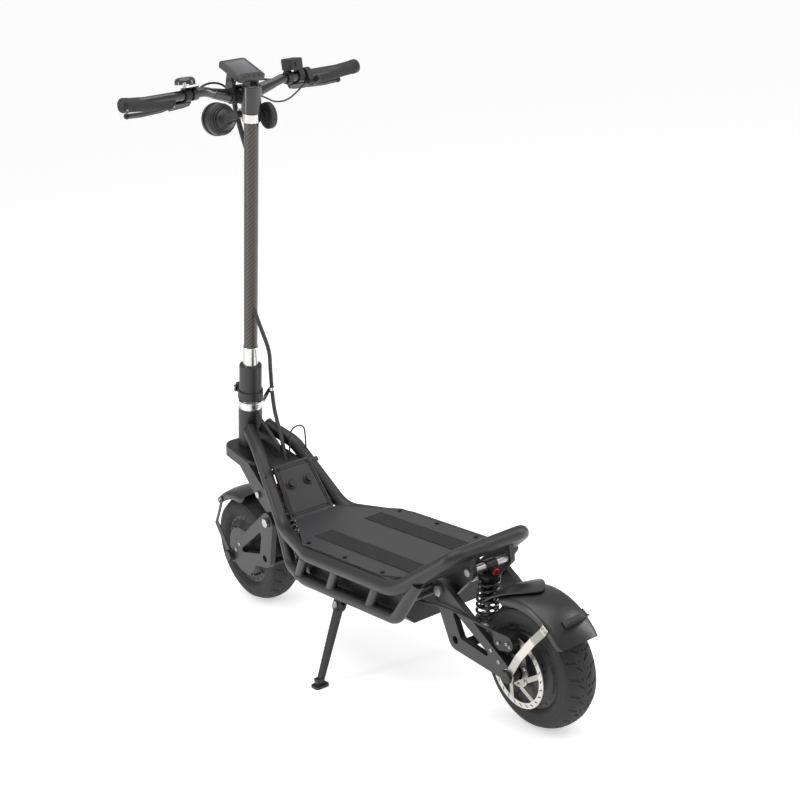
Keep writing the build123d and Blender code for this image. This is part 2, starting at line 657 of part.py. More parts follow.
# ---- Stem ------------------------------------------------------------------------
# Lock sleeve: slides down over the closed joint; its collar is pinched by two bolts
COLLAR_R = 31.5
COLLAR_TOP_S = 594
EAR_FRONT = 52
EAR_HALF_W = 13
EAR_BOLT_BACK = -44
EAR_BOLTS_S = (578, 588)
with BuildPart() as lock_sleeve:
    with BuildSketch(STEER.offset(SLEEVE_LOW_S)):
        Circle(SLEEVE_R)
    extrude(amount=SLEEVE_TOP_S - SLEEVE_LOW_S)
    fillet(lock_sleeve.edges().group_by(Axis(STEER.origin, STEER.z_dir))[-1], radius=3)
    with BuildSketch(STEER.offset(SLEEVE_LOW_S)):
        Circle(COLLAR_R)
        with Locations((0, -EAR_FRONT / 2)):
            RectangleRounded(2 * EAR_HALF_W, EAR_FRONT, 5)
    extrude(amount=COLLAR_TOP_S - SLEEVE_LOW_S)
    with BuildSketch(STEER.offset(SLEEVE_LOW_S)):
        Circle(SLEEVE_BORE_R)
        with Locations((0, -EAR_FRONT / 2)):
            Rectangle(2.4, EAR_FRONT)
    extrude(amount=COLLAR_TOP_S - SLEEVE_LOW_S, mode=Mode.SUBTRACT)
    with BuildSketch(STEER.offset(SLEEVE_LOW_S)):
        Circle(SLEEVE_BORE_R)
    extrude(amount=SLEEVE_TOP_S - SLEEVE_LOW_S - 10, mode=Mode.SUBTRACT)
    with BuildSketch(STEER.offset(SLEEVE_LOW_S)):
        Circle(ADAPTER_R + RUN_FIT)
    extrude(amount=SLEEVE_TOP_S - SLEEVE_LOW_S, mode=Mode.SUBTRACT)
    for bolt_s in EAR_BOLTS_S:
        with BuildSketch(Plane(origin=on_steer(0, EAR_BOLT_BACK, bolt_s), z_dir=(1, 0, 0))):
            Circle(3 + RUN_FIT)
        extrude(amount=EAR_HALF_W, both=True, mode=Mode.SUBTRACT)
with BuildPart() as collar_bolts:
    for bolt_s in EAR_BOLTS_S:
        with BuildSketch(Plane(origin=on_steer(0, EAR_BOLT_BACK, bolt_s), z_dir=(1, 0, 0))):
            Circle(3)
        extrude(amount=EAR_HALF_W, both=True)
        with BuildSketch(Plane(origin=on_steer(EAR_HALF_W, EAR_BOLT_BACK, bolt_s), z_dir=(1, 0, 0))):
            Circle(4.7)
        extrude(amount=5)
lock_group = Compound(label="lock_sleeve", children=[lock_sleeve.part, collar_bolts.part])
export_step(lock_group, "parts/lock_sleeve.step")

# Stem collars: polished adapter with the folding tongue, and the clamp under the head
ADAPTER_LOW_S = FOLD_PIN_S + FOLD_STEP
ADAPTER_STEP_S = 626
SOCKET_S = 640
STEM_FIT = 0.02
LAMP_ARM_X = 13
LAMP_BOLT = on_steer(0, -31, CLAMP_S + CLAMP_H / 2)
with BuildPart() as stem_collars:
    with BuildSketch(Plane(origin=on_steer(0, FOLD_PIN_BACK, FOLD_PIN_S), x_dir=STEER.y_dir, z_dir=(1, 0, 0))):
        Circle(KNUCKLE_R)
        with Locations((0, FOLD_STEP)):
            Rectangle(2 * KNUCKLE_R, 2 * FOLD_STEP)
    extrude(amount=CHEEK_IN_X - 0.4, both=True)
    with BuildSketch(STEER.offset(ADAPTER_LOW_S)):
        Circle(FOLD_R)
    extrude(amount=ADAPTER_STEP_S - ADAPTER_LOW_S)
    with BuildSketch(FOLD_PLANE.offset(-FOLD_STEP)):
        Circle(FOLD_R + 0.2)
    extrude(amount=60, mode=Mode.INTERSECT)
    with BuildSketch(STEER.offset(ADAPTER_STEP_S)):
        Circle(ADAPTER_R)
    extrude(amount=ADAPTER_TOP_S - ADAPTER_STEP_S)
    fillet(stem_collars.edges().group_by(Axis(STEER.origin, STEER.z_dir))[-1], radius=1)
    with BuildSketch(STEER.offset(SOCKET_S)):
        Circle(STEM_R + STEM_FIT)
    extrude(amount=ADAPTER_TOP_S - SOCKET_S, mode=Mode.SUBTRACT)
    with BuildSketch(Plane(origin=on_steer(0, FOLD_PIN_BACK, FOLD_PIN_S), x_dir=STEER.y_dir, z_dir=(1, 0, 0))):
        Circle(FOLD_PIN_R + RUN_FIT)
    extrude(amount=FOLD_R, both=True, mode=Mode.SUBTRACT)
    with BuildSketch(STEER.offset(CLAMP_S)):
        Circle(STEM_R + 3.8)
        with Locations((0, -25)):
            Rectangle(2 * LAMP_ARM_X, 30)
        Circle(STEM_R + STEM_FIT, mode=Mode.SUBTRACT)
        with Locations((0, -28)):
            Rectangle(2, 30, mode=Mode.SUBTRACT)
    extrude(amount=CLAMP_H)
    with BuildSketch(Plane(origin=LAMP_BOLT, z_dir=(1, 0, 0))):
        Circle(3 + RUN_FIT)
    extrude(amount=LAMP_ARM_X, both=True, mode=Mode.SUBTRACT)
stem_collars.part.label = "stem_collars"
export_step(stem_collars.part, "parts/stem_collars.step")

# Stem tube: woven tube with a cable slot high at the front and one low at the back
STEM_WALL = 2
LOOM_UP = [(0, -424, 808), (0, -391, 738), (-18, -397, 680), (-42, -447, 620), LOOM_TIE]
WRAP_R = 6
WRAP = [(0, -372, 1304), (0, -372, 1249), (0, -337, 1158)]
with BuildPart() as stem_tube:
    with BuildSketch(STEER.offset(SOCKET_S + 0.2)):
        Circle(STEM_R)
        Circle(STEM_R - STEM_WALL, mode=Mode.SUBTRACT)
    extrude(amount=STEM_TOP_S - SOCKET_S - 0.2)
    for start, end, hole_r in ((LOOM_UP[0], LOOM_UP[1], LOOM_R), (WRAP[2], WRAP[1], WRAP_R)):
        with BuildSketch(Plane(origin=start, z_dir=Vector(*end) - Vector(*start))):
            Circle(hole_r + FACE_GAP)
        extrude(amount=60, mode=Mode.SUBTRACT)
stem_tube.part.label = "stem_tube"
export_step(stem_tube.part, "parts/stem_tube.step")

# Stem head: closed cap on the tube with the handlebar clamp in front of it
BAR_CENTRE = on_steer(0, -BAR_FORWARD, BAR_S)
HEAD_CLAMP_HALF = 27
with BuildPart() as stem_head:
    with BuildSketch(STEER.offset(HEAD_BLOCK_S)):
        Circle(HEAD_BLOCK_R)
    extrude(amount=STEM_TOP_S + 6 - HEAD_BLOCK_S)
    fillet(stem_head.edges().group_by(Axis(STEER.origin, STEER.z_dir))[-1], radius=4)
    with BuildSketch(STEER.offset(BAR_S - 17)):
        with Locations((0, -BAR_FORWARD / 2)):
            Rectangle(2 * HEAD_CLAMP_HALF - 14, BAR_FORWARD)
    extrude(amount=34)
    with BuildSketch(Plane(origin=BAR_CENTRE, z_dir=(1, 0, 0))):
        Circle(21.5)
    extrude(amount=HEAD_CLAMP_HALF, both=True)
    with BuildSketch(STEER.offset(HEAD_BLOCK_S)):
        Circle(STEM_R + STEM_FIT)
    extrude(amount=STEM_TOP_S - HEAD_BLOCK_S, mode=Mode.SUBTRACT)
    with BuildSketch(Plane(origin=BAR_CENTRE, z_dir=(1, 0, 0))):
        Circle(BAR_CENTRE_R + STEM_FIT)
    extrude(amount=HEAD_CLAMP_HALF, both=True, mode=Mode.SUBTRACT)
stem_head.part.label = "stem_head"
export_step(stem_head.part, "parts/stem_head.step")

# Handlebar: thick centre that tapers into raised outer ends
BAR_POINTS = [
    (BAR_END_X, BAR_END_Y, BAR_END_Z),
    (BAR_BEND_X, BAR_END_Y, BAR_END_Z),
    (BAR_RISE_X, BAR_CENTRE.Y, BAR_CENTRE.Z),
]
bar_inner = Vector(*BAR_POINTS[2])
bar_slope = Vector(*BAR_POINTS[1]) - bar_inner
with BuildPart() as handlebar:
    with BuildLine() as bar_path:
        FilletPolyline(*mirrored(BAR_POINTS), radius=(50, 40, 40, 50))
    with BuildSketch(Plane(origin=bar_path.line @ 0, z_dir=bar_path.line % 0)):
        Circle(BAR_R)
    sweep(path=bar_path.line)
    with BuildSketch(Plane(origin=BAR_CENTRE, z_dir=(1, 0, 0))):
        Circle(BAR_CENTRE_R)
    extrude(amount=BAR_RISE_X - 5, both=True)
    with BuildSketch(Plane(origin=BAR_CENTRE + Vector(BAR_RISE_X - 5, 0, 0), z_dir=(1, 0, 0))):
        Circle(BAR_CENTRE_R)
    with BuildSketch(Plane(origin=bar_inner + bar_slope * 0.6, z_dir=bar_slope)):
        Circle(BAR_R + 0.8)
    loft()
    mirror(about=Plane.YZ)
handlebar.part.label = "handlebar"
export_step(handlebar.part, "parts/handlebar.step")

# Grips: ribbed rubber sleeves between metal lock rings, the outer ring closed
BAR_AXIS = Plane(origin=(0, BAR_END_Y, BAR_END_Z), x_dir=(0, 1, 0), z_dir=(1, 0, 0))
BAR_FIT = 0.03
RIB_PITCH = 8
with BuildPart() as grips:
    with BuildSketch(BAR_AXIS.offset(GRIP_IN_X)):
        Circle(GRIP_R)
        Circle(BAR_R + BAR_FIT, mode=Mode.SUBTRACT)
    extrude(amount=GRIP_OUT_X - GRIP_IN_X)
    rib_x = GRIP_IN_X + RIB_PITCH
    while rib_x < GRIP_OUT_X - RIB_PITCH / 2:
        with BuildSketch(BAR_AXIS.offset(rib_x)):
            Circle(GRIP_R)
            Circle(GRIP_R - 1, mode=Mode.SUBTRACT)
        extrude(amount=1.6, mode=Mode.SUBTRACT)
        rib_x = rib_x + RIB_PITCH
    for ring_x in (GRIP_IN_X - GRIP_RING_W, GRIP_OUT_X + FACE_GAP):
        with BuildSketch(BAR_AXIS.offset(ring_x)):
            Circle(GRIP_R + 1)
            Circle(BAR_R + BAR_FIT, mode=Mode.SUBTRACT)
        extrude(amount=GRIP_RING_W - FACE_GAP)
    with BuildSketch(BAR_AXIS.offset(BAR_END_X + FACE_GAP)):
        Circle(GRIP_R + 1)
    extrude(amount=2)
    with BuildSketch(BAR_AXIS.offset(GRIP_OUT_X + GRIP_RING_W)):
        Circle(GRIP_R + 1)
        Circle(BAR_R + BAR_FIT, mode=Mode.SUBTRACT)
    extrude(amount=BAR_END_X + FACE_GAP - GRIP_OUT_X - GRIP_RING_W)
    mirror(about=Plane.YZ)
grips.part.label = "grips"
export_step(grips.part, "parts/grips.step")

# ---- Handlebar controls ----------------------------------------------------------
# Display: flat box on two legs that clamp the bar either side of the stem head
DISPLAY = Plane(origin=(0, -316.5, 1369), x_dir=(1, 0, 0), z_dir=(0, 0.4175, 0.9087))
DISPLAY_W = 72
DISPLAY_L = 96
DISPLAY_T = 12
LEG_X = 28
LEG_W = 8
with BuildPart() as display:
    with BuildSketch(DISPLAY):
        RectangleRounded(DISPLAY_W, DISPLAY_L, 9)
    extrude(amount=-DISPLAY_T)
    fillet(display.edges().group_by(Axis(DISPLAY.origin, DISPLAY.z_dir))[-1], radius=2)
    with BuildSketch(DISPLAY):
        with Locations((0, -3)):
            RectangleRounded(DISPLAY_W - 12, DISPLAY_L - 22, 4)
    extrude(amount=-0.8, mode=Mode.SUBTRACT)
    under = DISPLAY.from_local_coords(Vector(0, 2, -DISPLAY_T))
    for leg_x in (LEG_X, -LEG_X - LEG_W):
        with BuildSketch(Plane.YZ.offset(leg_x)):
            with Locations((BAR_CENTRE.Y, BAR_CENTRE.Z)):
                Circle(20)
            with Locations((under.Y, under.Z)):
                Circle(9)
            make_hull()
            with Locations((BAR_CENTRE.Y, BAR_CENTRE.Z)):
                Circle(BAR_CENTRE_R + STEM_FIT, mode=Mode.SUBTRACT)
        extrude(amount=LEG_W)
display.part.label = "display"
export_step(display.part, "parts/display.step")

# Headlight: finned round lamp on a two-armed bracket bolted to the stem clamp
LAMP_CENTRE = (0, -440, 1248)
LAMP = Plane(origin=LAMP_CENTRE, x_dir=(1, 0, 0), z_dir=(0, -1, 0))
LAMP_R = 38
LAMP_ARM_T = 4
LAMP_BACK = (-412, 1250)
with BuildPart() as headlight:
    with BuildSketch(LAMP):
        Circle(LAMP_R)
    extrude(amount=22)
    with BuildSketch(LAMP.offset(22)):
        Circle(LAMP_R + 2)
        Circle(LAMP_R - 4, mode=Mode.SUBTRACT)
    extrude(amount=6)
    with BuildSketch(LAMP):
        Circle(LAMP_R)
    with BuildSketch(LAMP.offset(-24)):
        Circle(22)
    loft()
    with BuildSketch(LAMP.offset(-24)):
        Circle(22)
    with BuildSketch(LAMP.offset(-34)):
        Circle(12)
    loft()
    for fin in range(4):
        with BuildSketch(LAMP.offset(2 - 6 * fin)):
            Circle(LAMP_R - 3 * fin)
            Circle(LAMP_R - 5 - 3.2 * fin, mode=Mode.SUBTRACT)
        extrude(amount=-2)
    for arm_x in (LAMP_ARM_X + FACE_GAP, -LAMP_ARM_X - FACE_GAP - LAMP_ARM_T):
        with BuildSketch(Plane.YZ.offset(arm_x)):
            with Locations((LAMP_BOLT.Y, LAMP_BOLT.Z), LAMP_BACK):
                Circle(9)
            make_hull()
        extrude(amount=LAMP_ARM_T)
    with BuildSketch(Plane(origin=LAMP_BOLT, z_dir=(1, 0, 0))):
        Circle(3)
    extrude(amount=LAMP_ARM_X + LAMP_ARM_T, both=True)
    with BuildSketch(Plane(origin=LAMP_BOLT, z_dir=(1, 0, 0)).offset(LAMP_ARM_X + LAMP_ARM_T)):
        RegularPolygon(6, 6)
    extrude(amount=4)
headlight.part.label = "headlight"
export_step(headlight.part, "parts/headlight.step")

# Horn: flat disc beside the stem clamp, its bracket against the clamp's flank
HORN_CENTRE = (-48, -297, 1254)
HORN = Plane(origin=HORN_CENTRE, x_dir=(0, 1, 0), z_dir=(1, 0, 0))
HORN_R = 31
CLAMP_R = STEM_R + 3.8
with BuildPart() as horn:
    with BuildSketch(HORN):
        Circle(HORN_R)
    extrude(amount=14)
    fillet(horn.edges(), radius=3)
    with BuildSketch(HORN.offset(14)):
        Circle(14)
    extrude(amount=5)
    horn_reach = -HORN_CENTRE[0] - CLAMP_R - FACE_GAP
    with BuildSketch(HORN.offset(14)):
        with Locations((-7.5, 2.7)):
            Rectangle(16, 14)
    extrude(amount=horn_reach - 14)
horn.part.label = "horn"
export_step(horn.part, "parts/horn.step")

# Brake masters: clamp ring, cylinder body with the lever slot, and its pin
lever_cos = math.cos(math.radians(LEVER_DOWN))
lever_sin = math.sin(math.radians(LEVER_DOWN))
LEVER_PLANE = Plane(
    origin=(0, BAR_END_Y, BAR_END_Z), x_dir=(1, 0, 0), z_dir=(0, lever_sin, -lever_cos)
)
LEVER_PIN = (176, 38)
LEVER_PIN_R = 2.5
MASTER_X = 146
MASTER_W = 14
BODY_HALF_T = 9
LEVER_HALF_T = 4
RING_R = 16
with BuildPart() as brake_masters:
    with BuildSketch(LEVER_PLANE.offset(-BODY_HALF_T)):
        Polygon((136, 21), (188, 21), (196, 30), (186, 46), (150, 42), (136, 36), align=None)
    extrude(amount=2 * BODY_HALF_T)
    with BuildSketch(LEVER_PLANE.offset(-6)):
        Polygon((MASTER_X, 12), (MASTER_X + MASTER_W, 12), (MASTER_X + MASTER_W, 24), (MASTER_X, 24), align=None)
    extrude(amount=12)
    with BuildSketch(LEVER_PLANE.offset(-LEVER_HALF_T - FACE_GAP)):
        Polygon((164, 29), (200, 29), (200, 50), (164, 50), align=None)
    extrude(amount=2 * (LEVER_HALF_T + FACE_GAP), mode=Mode.SUBTRACT)
    with BuildSketch(LEVER_PLANE.offset(-BODY_HALF_T)):
        with Locations(LEVER_PIN):
            Circle(LEVER_PIN_R)
    extrude(amount=2 * BODY_HALF_T)
    with BuildSketch(BAR_AXIS.offset(MASTER_X)):
        Circle(RING_R)
    extrude(amount=MASTER_W)
    with BuildSketch(BAR_AXIS.offset(MASTER_X)):
        Circle(BAR_R + BAR_FIT)
    extrude(amount=MASTER_W, mode=Mode.SUBTRACT)
    mirror(about=Plane.YZ)
brake_masters.part.label = "brake_masters"
export_step(brake_masters.part, "parts/brake_masters.step")

# Brake levers: curved blade with a ball end, one each side
LEVER_BLADE = ((LEVER_PIN, 6), ((202, 50), 5), ((250, 54), 5), ((284, 51), 4.6))
LEVER_BALL_R = 7
with BuildPart() as brake_lever_left:
    for (start, start_r), (end, end_r) in zip(LEVER_BLADE, LEVER_BLADE[1:]):
        with BuildSketch(LEVER_PLANE.offset(-LEVER_HALF_T)):
            with Locations(start):
                Circle(start_r)
            with Locations(end):
                Circle(end_r)
            make_hull()
        extrude(amount=2 * LEVER_HALF_T)
    with Locations(LEVER_PLANE.from_local_coords(Vector(288, 50, 0))):
        Sphere(LEVER_BALL_R)
    with BuildSketch(LEVER_PLANE.offset(-LEVER_HALF_T)):
        with Locations(LEVER_PIN):
            Circle(LEVER_PIN_R + RUN_FIT)
    extrude(amount=2 * LEVER_HALF_T, mode=Mode.SUBTRACT)
brake_lever_left.part.label = "brake_lever_left"
export_step(brake_lever_left.part, "parts/brake_lever_left.step")

with BuildPart() as brake_lever_right:
    add(brake_lever_left.part.mirror(Plane.YZ))
brake_lever_right.part.label = "brake_lever_right"
export_step(brake_lever_right.part, "parts/brake_lever_right.step")

# Right-hand controls: switch box over the bar, and the throttle's ring and hinge lug
SWITCH_X = (-150, -114)
SWITCH_Y = (-332, -288)
SWITCH_Z = (1347, 1373)
SWITCH_RING_X = -128
BUTTON_R = 5
BUTTON_AT = (-132, 1360)
THROTTLE_X = -180
THROTTLE_W = 14
PADDLE_PIVOT = (-301, 1315)
PADDLE_PIN_R = 2
PADDLE_W = 7
with BuildPart() as right_controls:
    with BuildSketch(Plane.XY.offset(SWITCH_Z[0])):
        with Locations(((SWITCH_X[0] + SWITCH_X[1]) / 2, (SWITCH_Y[0] + SWITCH_Y[1]) / 2)):
            RectangleRounded(SWITCH_X[1] - SWITCH_X[0], SWITCH_Y[1] - SWITCH_Y[0], 6)
    extrude(amount=SWITCH_Z[1] - SWITCH_Z[0])
    fillet(right_controls.edges().group_by(Axis.Z)[-1], radius=3)
    with BuildSketch(BAR_AXIS.offset(SWITCH_RING_X)):
        Circle(RING_R)
    extrude(amount=12)
    with BuildSketch(BAR_AXIS.offset(SWITCH_RING_X)):
        Circle(BAR_R + BAR_FIT)
    extrude(amount=12, mode=Mode.SUBTRACT)
    with BuildSketch(Plane.XY.offset(BAR_END_Z + 13)):
        with Locations((SWITCH_RING_X + 6, BAR_END_Y)):
            Rectangle(12, 14)
    extrude(amount=SWITCH_Z[0] - BAR_END_Z - 12)
    with BuildSketch(Plane.XZ.offset(-SWITCH_Y[1])):
        with Locations(BUTTON_AT):
            Circle(BUTTON_R + RUN_FIT)
    extrude(amount=6, mode=Mode.SUBTRACT)
    with BuildSketch(Plane.YZ.offset(THROTTLE_X)):
        with Locations((BAR_END_Y, BAR_END_Z)):
            Circle(RING_R + 1)
        with Locations(PADDLE_PIVOT):
            Circle(7)
        make_hull()
        with Locations((BAR_END_Y, BAR_END_Z)):
            Circle(BAR_R + BAR_FIT, mode=Mode.SUBTRACT)
    extrude(amount=THROTTLE_W)
    with BuildSketch(Plane.YZ.offset(THROTTLE_X)):
        with Locations(PADDLE_PIVOT):
            Circle(PADDLE_PIN_R)
    extrude(amount=-PADDLE_W - 1)
right_controls.part.label = "right_controls"
export_step(right_controls.part, "parts/right_controls.step")

# Push button of the switch box
with BuildPart() as switch_button:
    with BuildSketch(Plane.XZ.offset(-SWITCH_Y[1] + 3)):
        with Locations(BUTTON_AT):
            Circle(BUTTON_R)
    extrude(amount=-6)
switch_button.part.label = "switch_button"
export_step(switch_button.part, "parts/switch_button.step")

# Throttle paddle: thumb tongue on the lug's pin
with BuildPart() as throttle_paddle:
    with BuildSketch(Plane.YZ.offset(THROTTLE_X - FACE_GAP)):
        with Locations(PADDLE_PIVOT):
            Circle(5.5)
        with Locations((-284, 1319)):
            Circle(6.5)
        make_hull()
        with Locations(PADDLE_PIVOT):
            Circle(PADDLE_PIN_R + RUN_FIT, mode=Mode.SUBTRACT)
    extrude(amount=-PADDLE_W)
throttle_paddle.part.label = "throttle_paddle"
export_step(throttle_paddle.part, "parts/throttle_paddle.step")

# Bell: base ring and post, domed cap, and the lug of its striker
BELL_X = 128
BELL_AT = (152, -318)
BELL_LOW_Z = 1354
BELL_R = 24
STRIKER_PIVOT = (134, -299)
STRIKER_PIN_R = 2
STRIKER_T = 4
with BuildPart() as bell:
    with BuildSketch(BAR_AXIS.offset(BELL_X)):
        Circle(RING_R)
        Circle(BAR_R + BAR_FIT, mode=Mode.SUBTRACT)
    extrude(amount=12)
    with BuildSketch(Plane.XY.offset(BAR_END_Z + 13)):
        with Locations((BELL_X + 6, BELL_AT[1])):
            Rectangle(10, 12)
    extrude(amount=BELL_LOW_Z - BAR_END_Z - 12)
    with BuildSketch(Plane.XY.offset(BELL_LOW_Z)):
        with Locations(BELL_AT):
            Circle(BELL_R)
    extrude(amount=15)
    fillet(bell.edges().filter_by(GeomType.CIRCLE).sort_by(Axis.Z)[-1], radius=11)
    with BuildSketch(Plane.XY.offset(BAR_END_Z + 13)):
        with Locations((STRIKER_PIVOT[0], -311)):
            Rectangle(9, 24)
        with Locations(STRIKER_PIVOT):
            Circle(4.5)
    extrude(amount=4)
    with BuildSketch(Plane.XY.offset(BAR_END_Z + 17)):
        with Locations(STRIKER_PIVOT):
            Circle(STRIKER_PIN_R)
    extrude(amount=STRIKER_T + 1)
bell.part.label = "bell"
export_step(bell.part, "parts/bell.step")

# Bell striker: sprung arm that swings a hammer against the dome's rim
HAMMER_AT = (170, -289)
with BuildPart() as bell_striker:
    with BuildSketch(Plane.XY.offset(BAR_END_Z + 17 + FACE_GAP)):
        with Locations(STRIKER_PIVOT):
            Circle(4)
        with Locations(HAMMER_AT):
            Circle(2.5)
        make_hull()
        with Locations(STRIKER_PIVOT):
            Circle(STRIKER_PIN_R + RUN_FIT, mode=Mode.SUBTRACT)
    extrude(amount=STRIKER_T)
    with BuildSketch(Plane.XY.offset(BAR_END_Z + 17 + FACE_GAP)):
        with Locations(HAMMER_AT):
            Circle(4)
    extrude(amount=12)
bell_striker.part.label = "bell_striker"
export_step(bell_striker.part, "parts/bell_striker.step")


# ---- Cables ------------------------------------------------------------------------
def cable_radii(points):
    """Bend radii that leave a straight piece on every run, one for each corner."""
    corners = [Vector(*p) for p in points]
    radii = []
    for before, corner, after in zip(corners, corners[1:], corners[2:]):
        run = min((corner - before).length, (after - corner).length)
        turn = math.radians((corner - before).get_angle(after - corner))
        radii.append(0.45 * run / math.tan(turn / 2))
    return radii


def cable(name, points, cable_r):
    """A round cable along straight runs joined by tangent arcs."""
    radii = cable_radii(points)
    with BuildPart() as tube:
        with BuildLine() as route:
            FilletPolyline(*points, radius=radii)
        with BuildSketch(Plane(origin=route.line @ 0, z_dir=route.line % 0)):
            Circle(cable_r)
        sweep(path=route.line)
    length = route.wires()[0].length
    fill = tube.part.volume / (math.pi * cable_r**2 * length)
    print(name, "radii", [round(r) for r in radii], "length", round(length), "fill", round(fill, 3))
    return tube.part


HOSE_R = 2.5
WIRE_R = 2
MASTER_END = LEVER_PLANE.from_local_coords(Vector(134.2, 29, 0))
LEFT_HOSE = [
    tuple(MASTER_END),
    (110, -350, 1332),
    (72, -358, 1345),
    (30, -366, 1338),
    (6, -370, 1312),
    (2.5, -372, 1290),
]
RIGHT_HOSE = [
    (-MASTER_END.X, MASTER_END.Y, MASTER_END.Z),
    (-110, -348, 1324),
    (-72, -356, 1334),
    (-32, -366, 1330),
    (-7, -371, 1308),
    (-2.5, -372, 1288),
]
SWITCH_LOOP = [
    (THROTTLE_X + THROTTLE_W + 1.3, -303, 1317),
    (-142, -305, 1300),
    (-108, -311, 1278),
    (-70, -309, 1280),
    (-45, -301, 1294),
    (-HEAD_BLOCK_R - 0.8, -294, 1303),
]
DISPLAY_WIRE = [(0, -339.5, 1366), (0, -351, 1341), (0, -368, 1318), (0, -371, 1292)]
with BuildPart() as bar_cables:
    add(cable("wrap", WRAP, WRAP_R))
    add(cable("left hose", LEFT_HOSE, HOSE_R))
    add(cable("right hose", RIGHT_HOSE, HOSE_R))
    add(cable("display wire", DISPLAY_WIRE, WIRE_R))
    add(cable("switch loop", SWITCH_LOOP, WIRE_R))
bar_cables.part.label = "bar_cables"
export_step(bar_cables.part, "parts/bar_cables.step")

with BuildPart() as loom_upper:
    add(cable("loom upper", LOOM_UP, LOOM_R))
loom_upper.part.label = "loom_upper"
export_step(loom_upper.part, "parts/loom_upper.step")

NECK_LOOP = [(-17, -372, 409), (-17, -360, 450), (-19, -350, 490), (-57, -348, 492), (-62, -356, 452), (-62, -361, 425.2)]
with BuildPart() as loom_lower:
    add(cable("loom lower", LOOM_LOW, LOOM_R))
    add(cable("neck loop", NECK_LOOP, WIRE_R))
loom_lower.part.label = "loom_lower"
export_step(loom_lower.part, "parts/loom_lower.step")

REAR_HOSE = [
    (96, BOX_REAR_Y + FACE_GAP, 236),
    (98, 298, 241),
    (94, 352, 246),
    (91, 412, 243),
    (87, 462, 236),
    (76, 507.4, 222),
]
with BuildPart() as rear_hose:
    add(cable("rear hose", REAR_HOSE, HOSE_R))
rear_hose.part.label = "rear_hose"
export_step(rear_hose.part, "parts/rear_hose.step")

# ---- Wheels and suspension, the front and the rear alike --------------------------------
TREAD = [(CROWN_HALF_W, TYRE_R), (36, 133), (TYRE_HALF_W, 112), (BEAD_HALF_W, 92), (BEAD_HALF_W, BEAD_R)]
TREAD_INSIDE = [(26, BEAD_R), (34, 98), (36, 112), (28, 126)]
FENDER_OUT = [(-52, 138), (-52, 150), (-46, 158), (0, 163), (46, 158), (52, 150), (52, 138)]
FENDER_IN = [(49, 138), (49, 149), (44, 155), (0, 160), (-44, 155), (-49, 149), (-49, 138)]
STAY_T = 2
STAY_KNEE = {"front": 94, "rear": 65}
FENDER_ARC = {"front": (50, 105), "rear": (31, 112)}
STAY_ANGLE = {"front": 61, "rear": 52.2}
STAY_X = ARM_OUT_X + FACE_GAP
NUT_X = STAY_X + STAY_T + FACE_GAP
SPRING_LOW = 25.3
SPRING_HIGH = 133.7
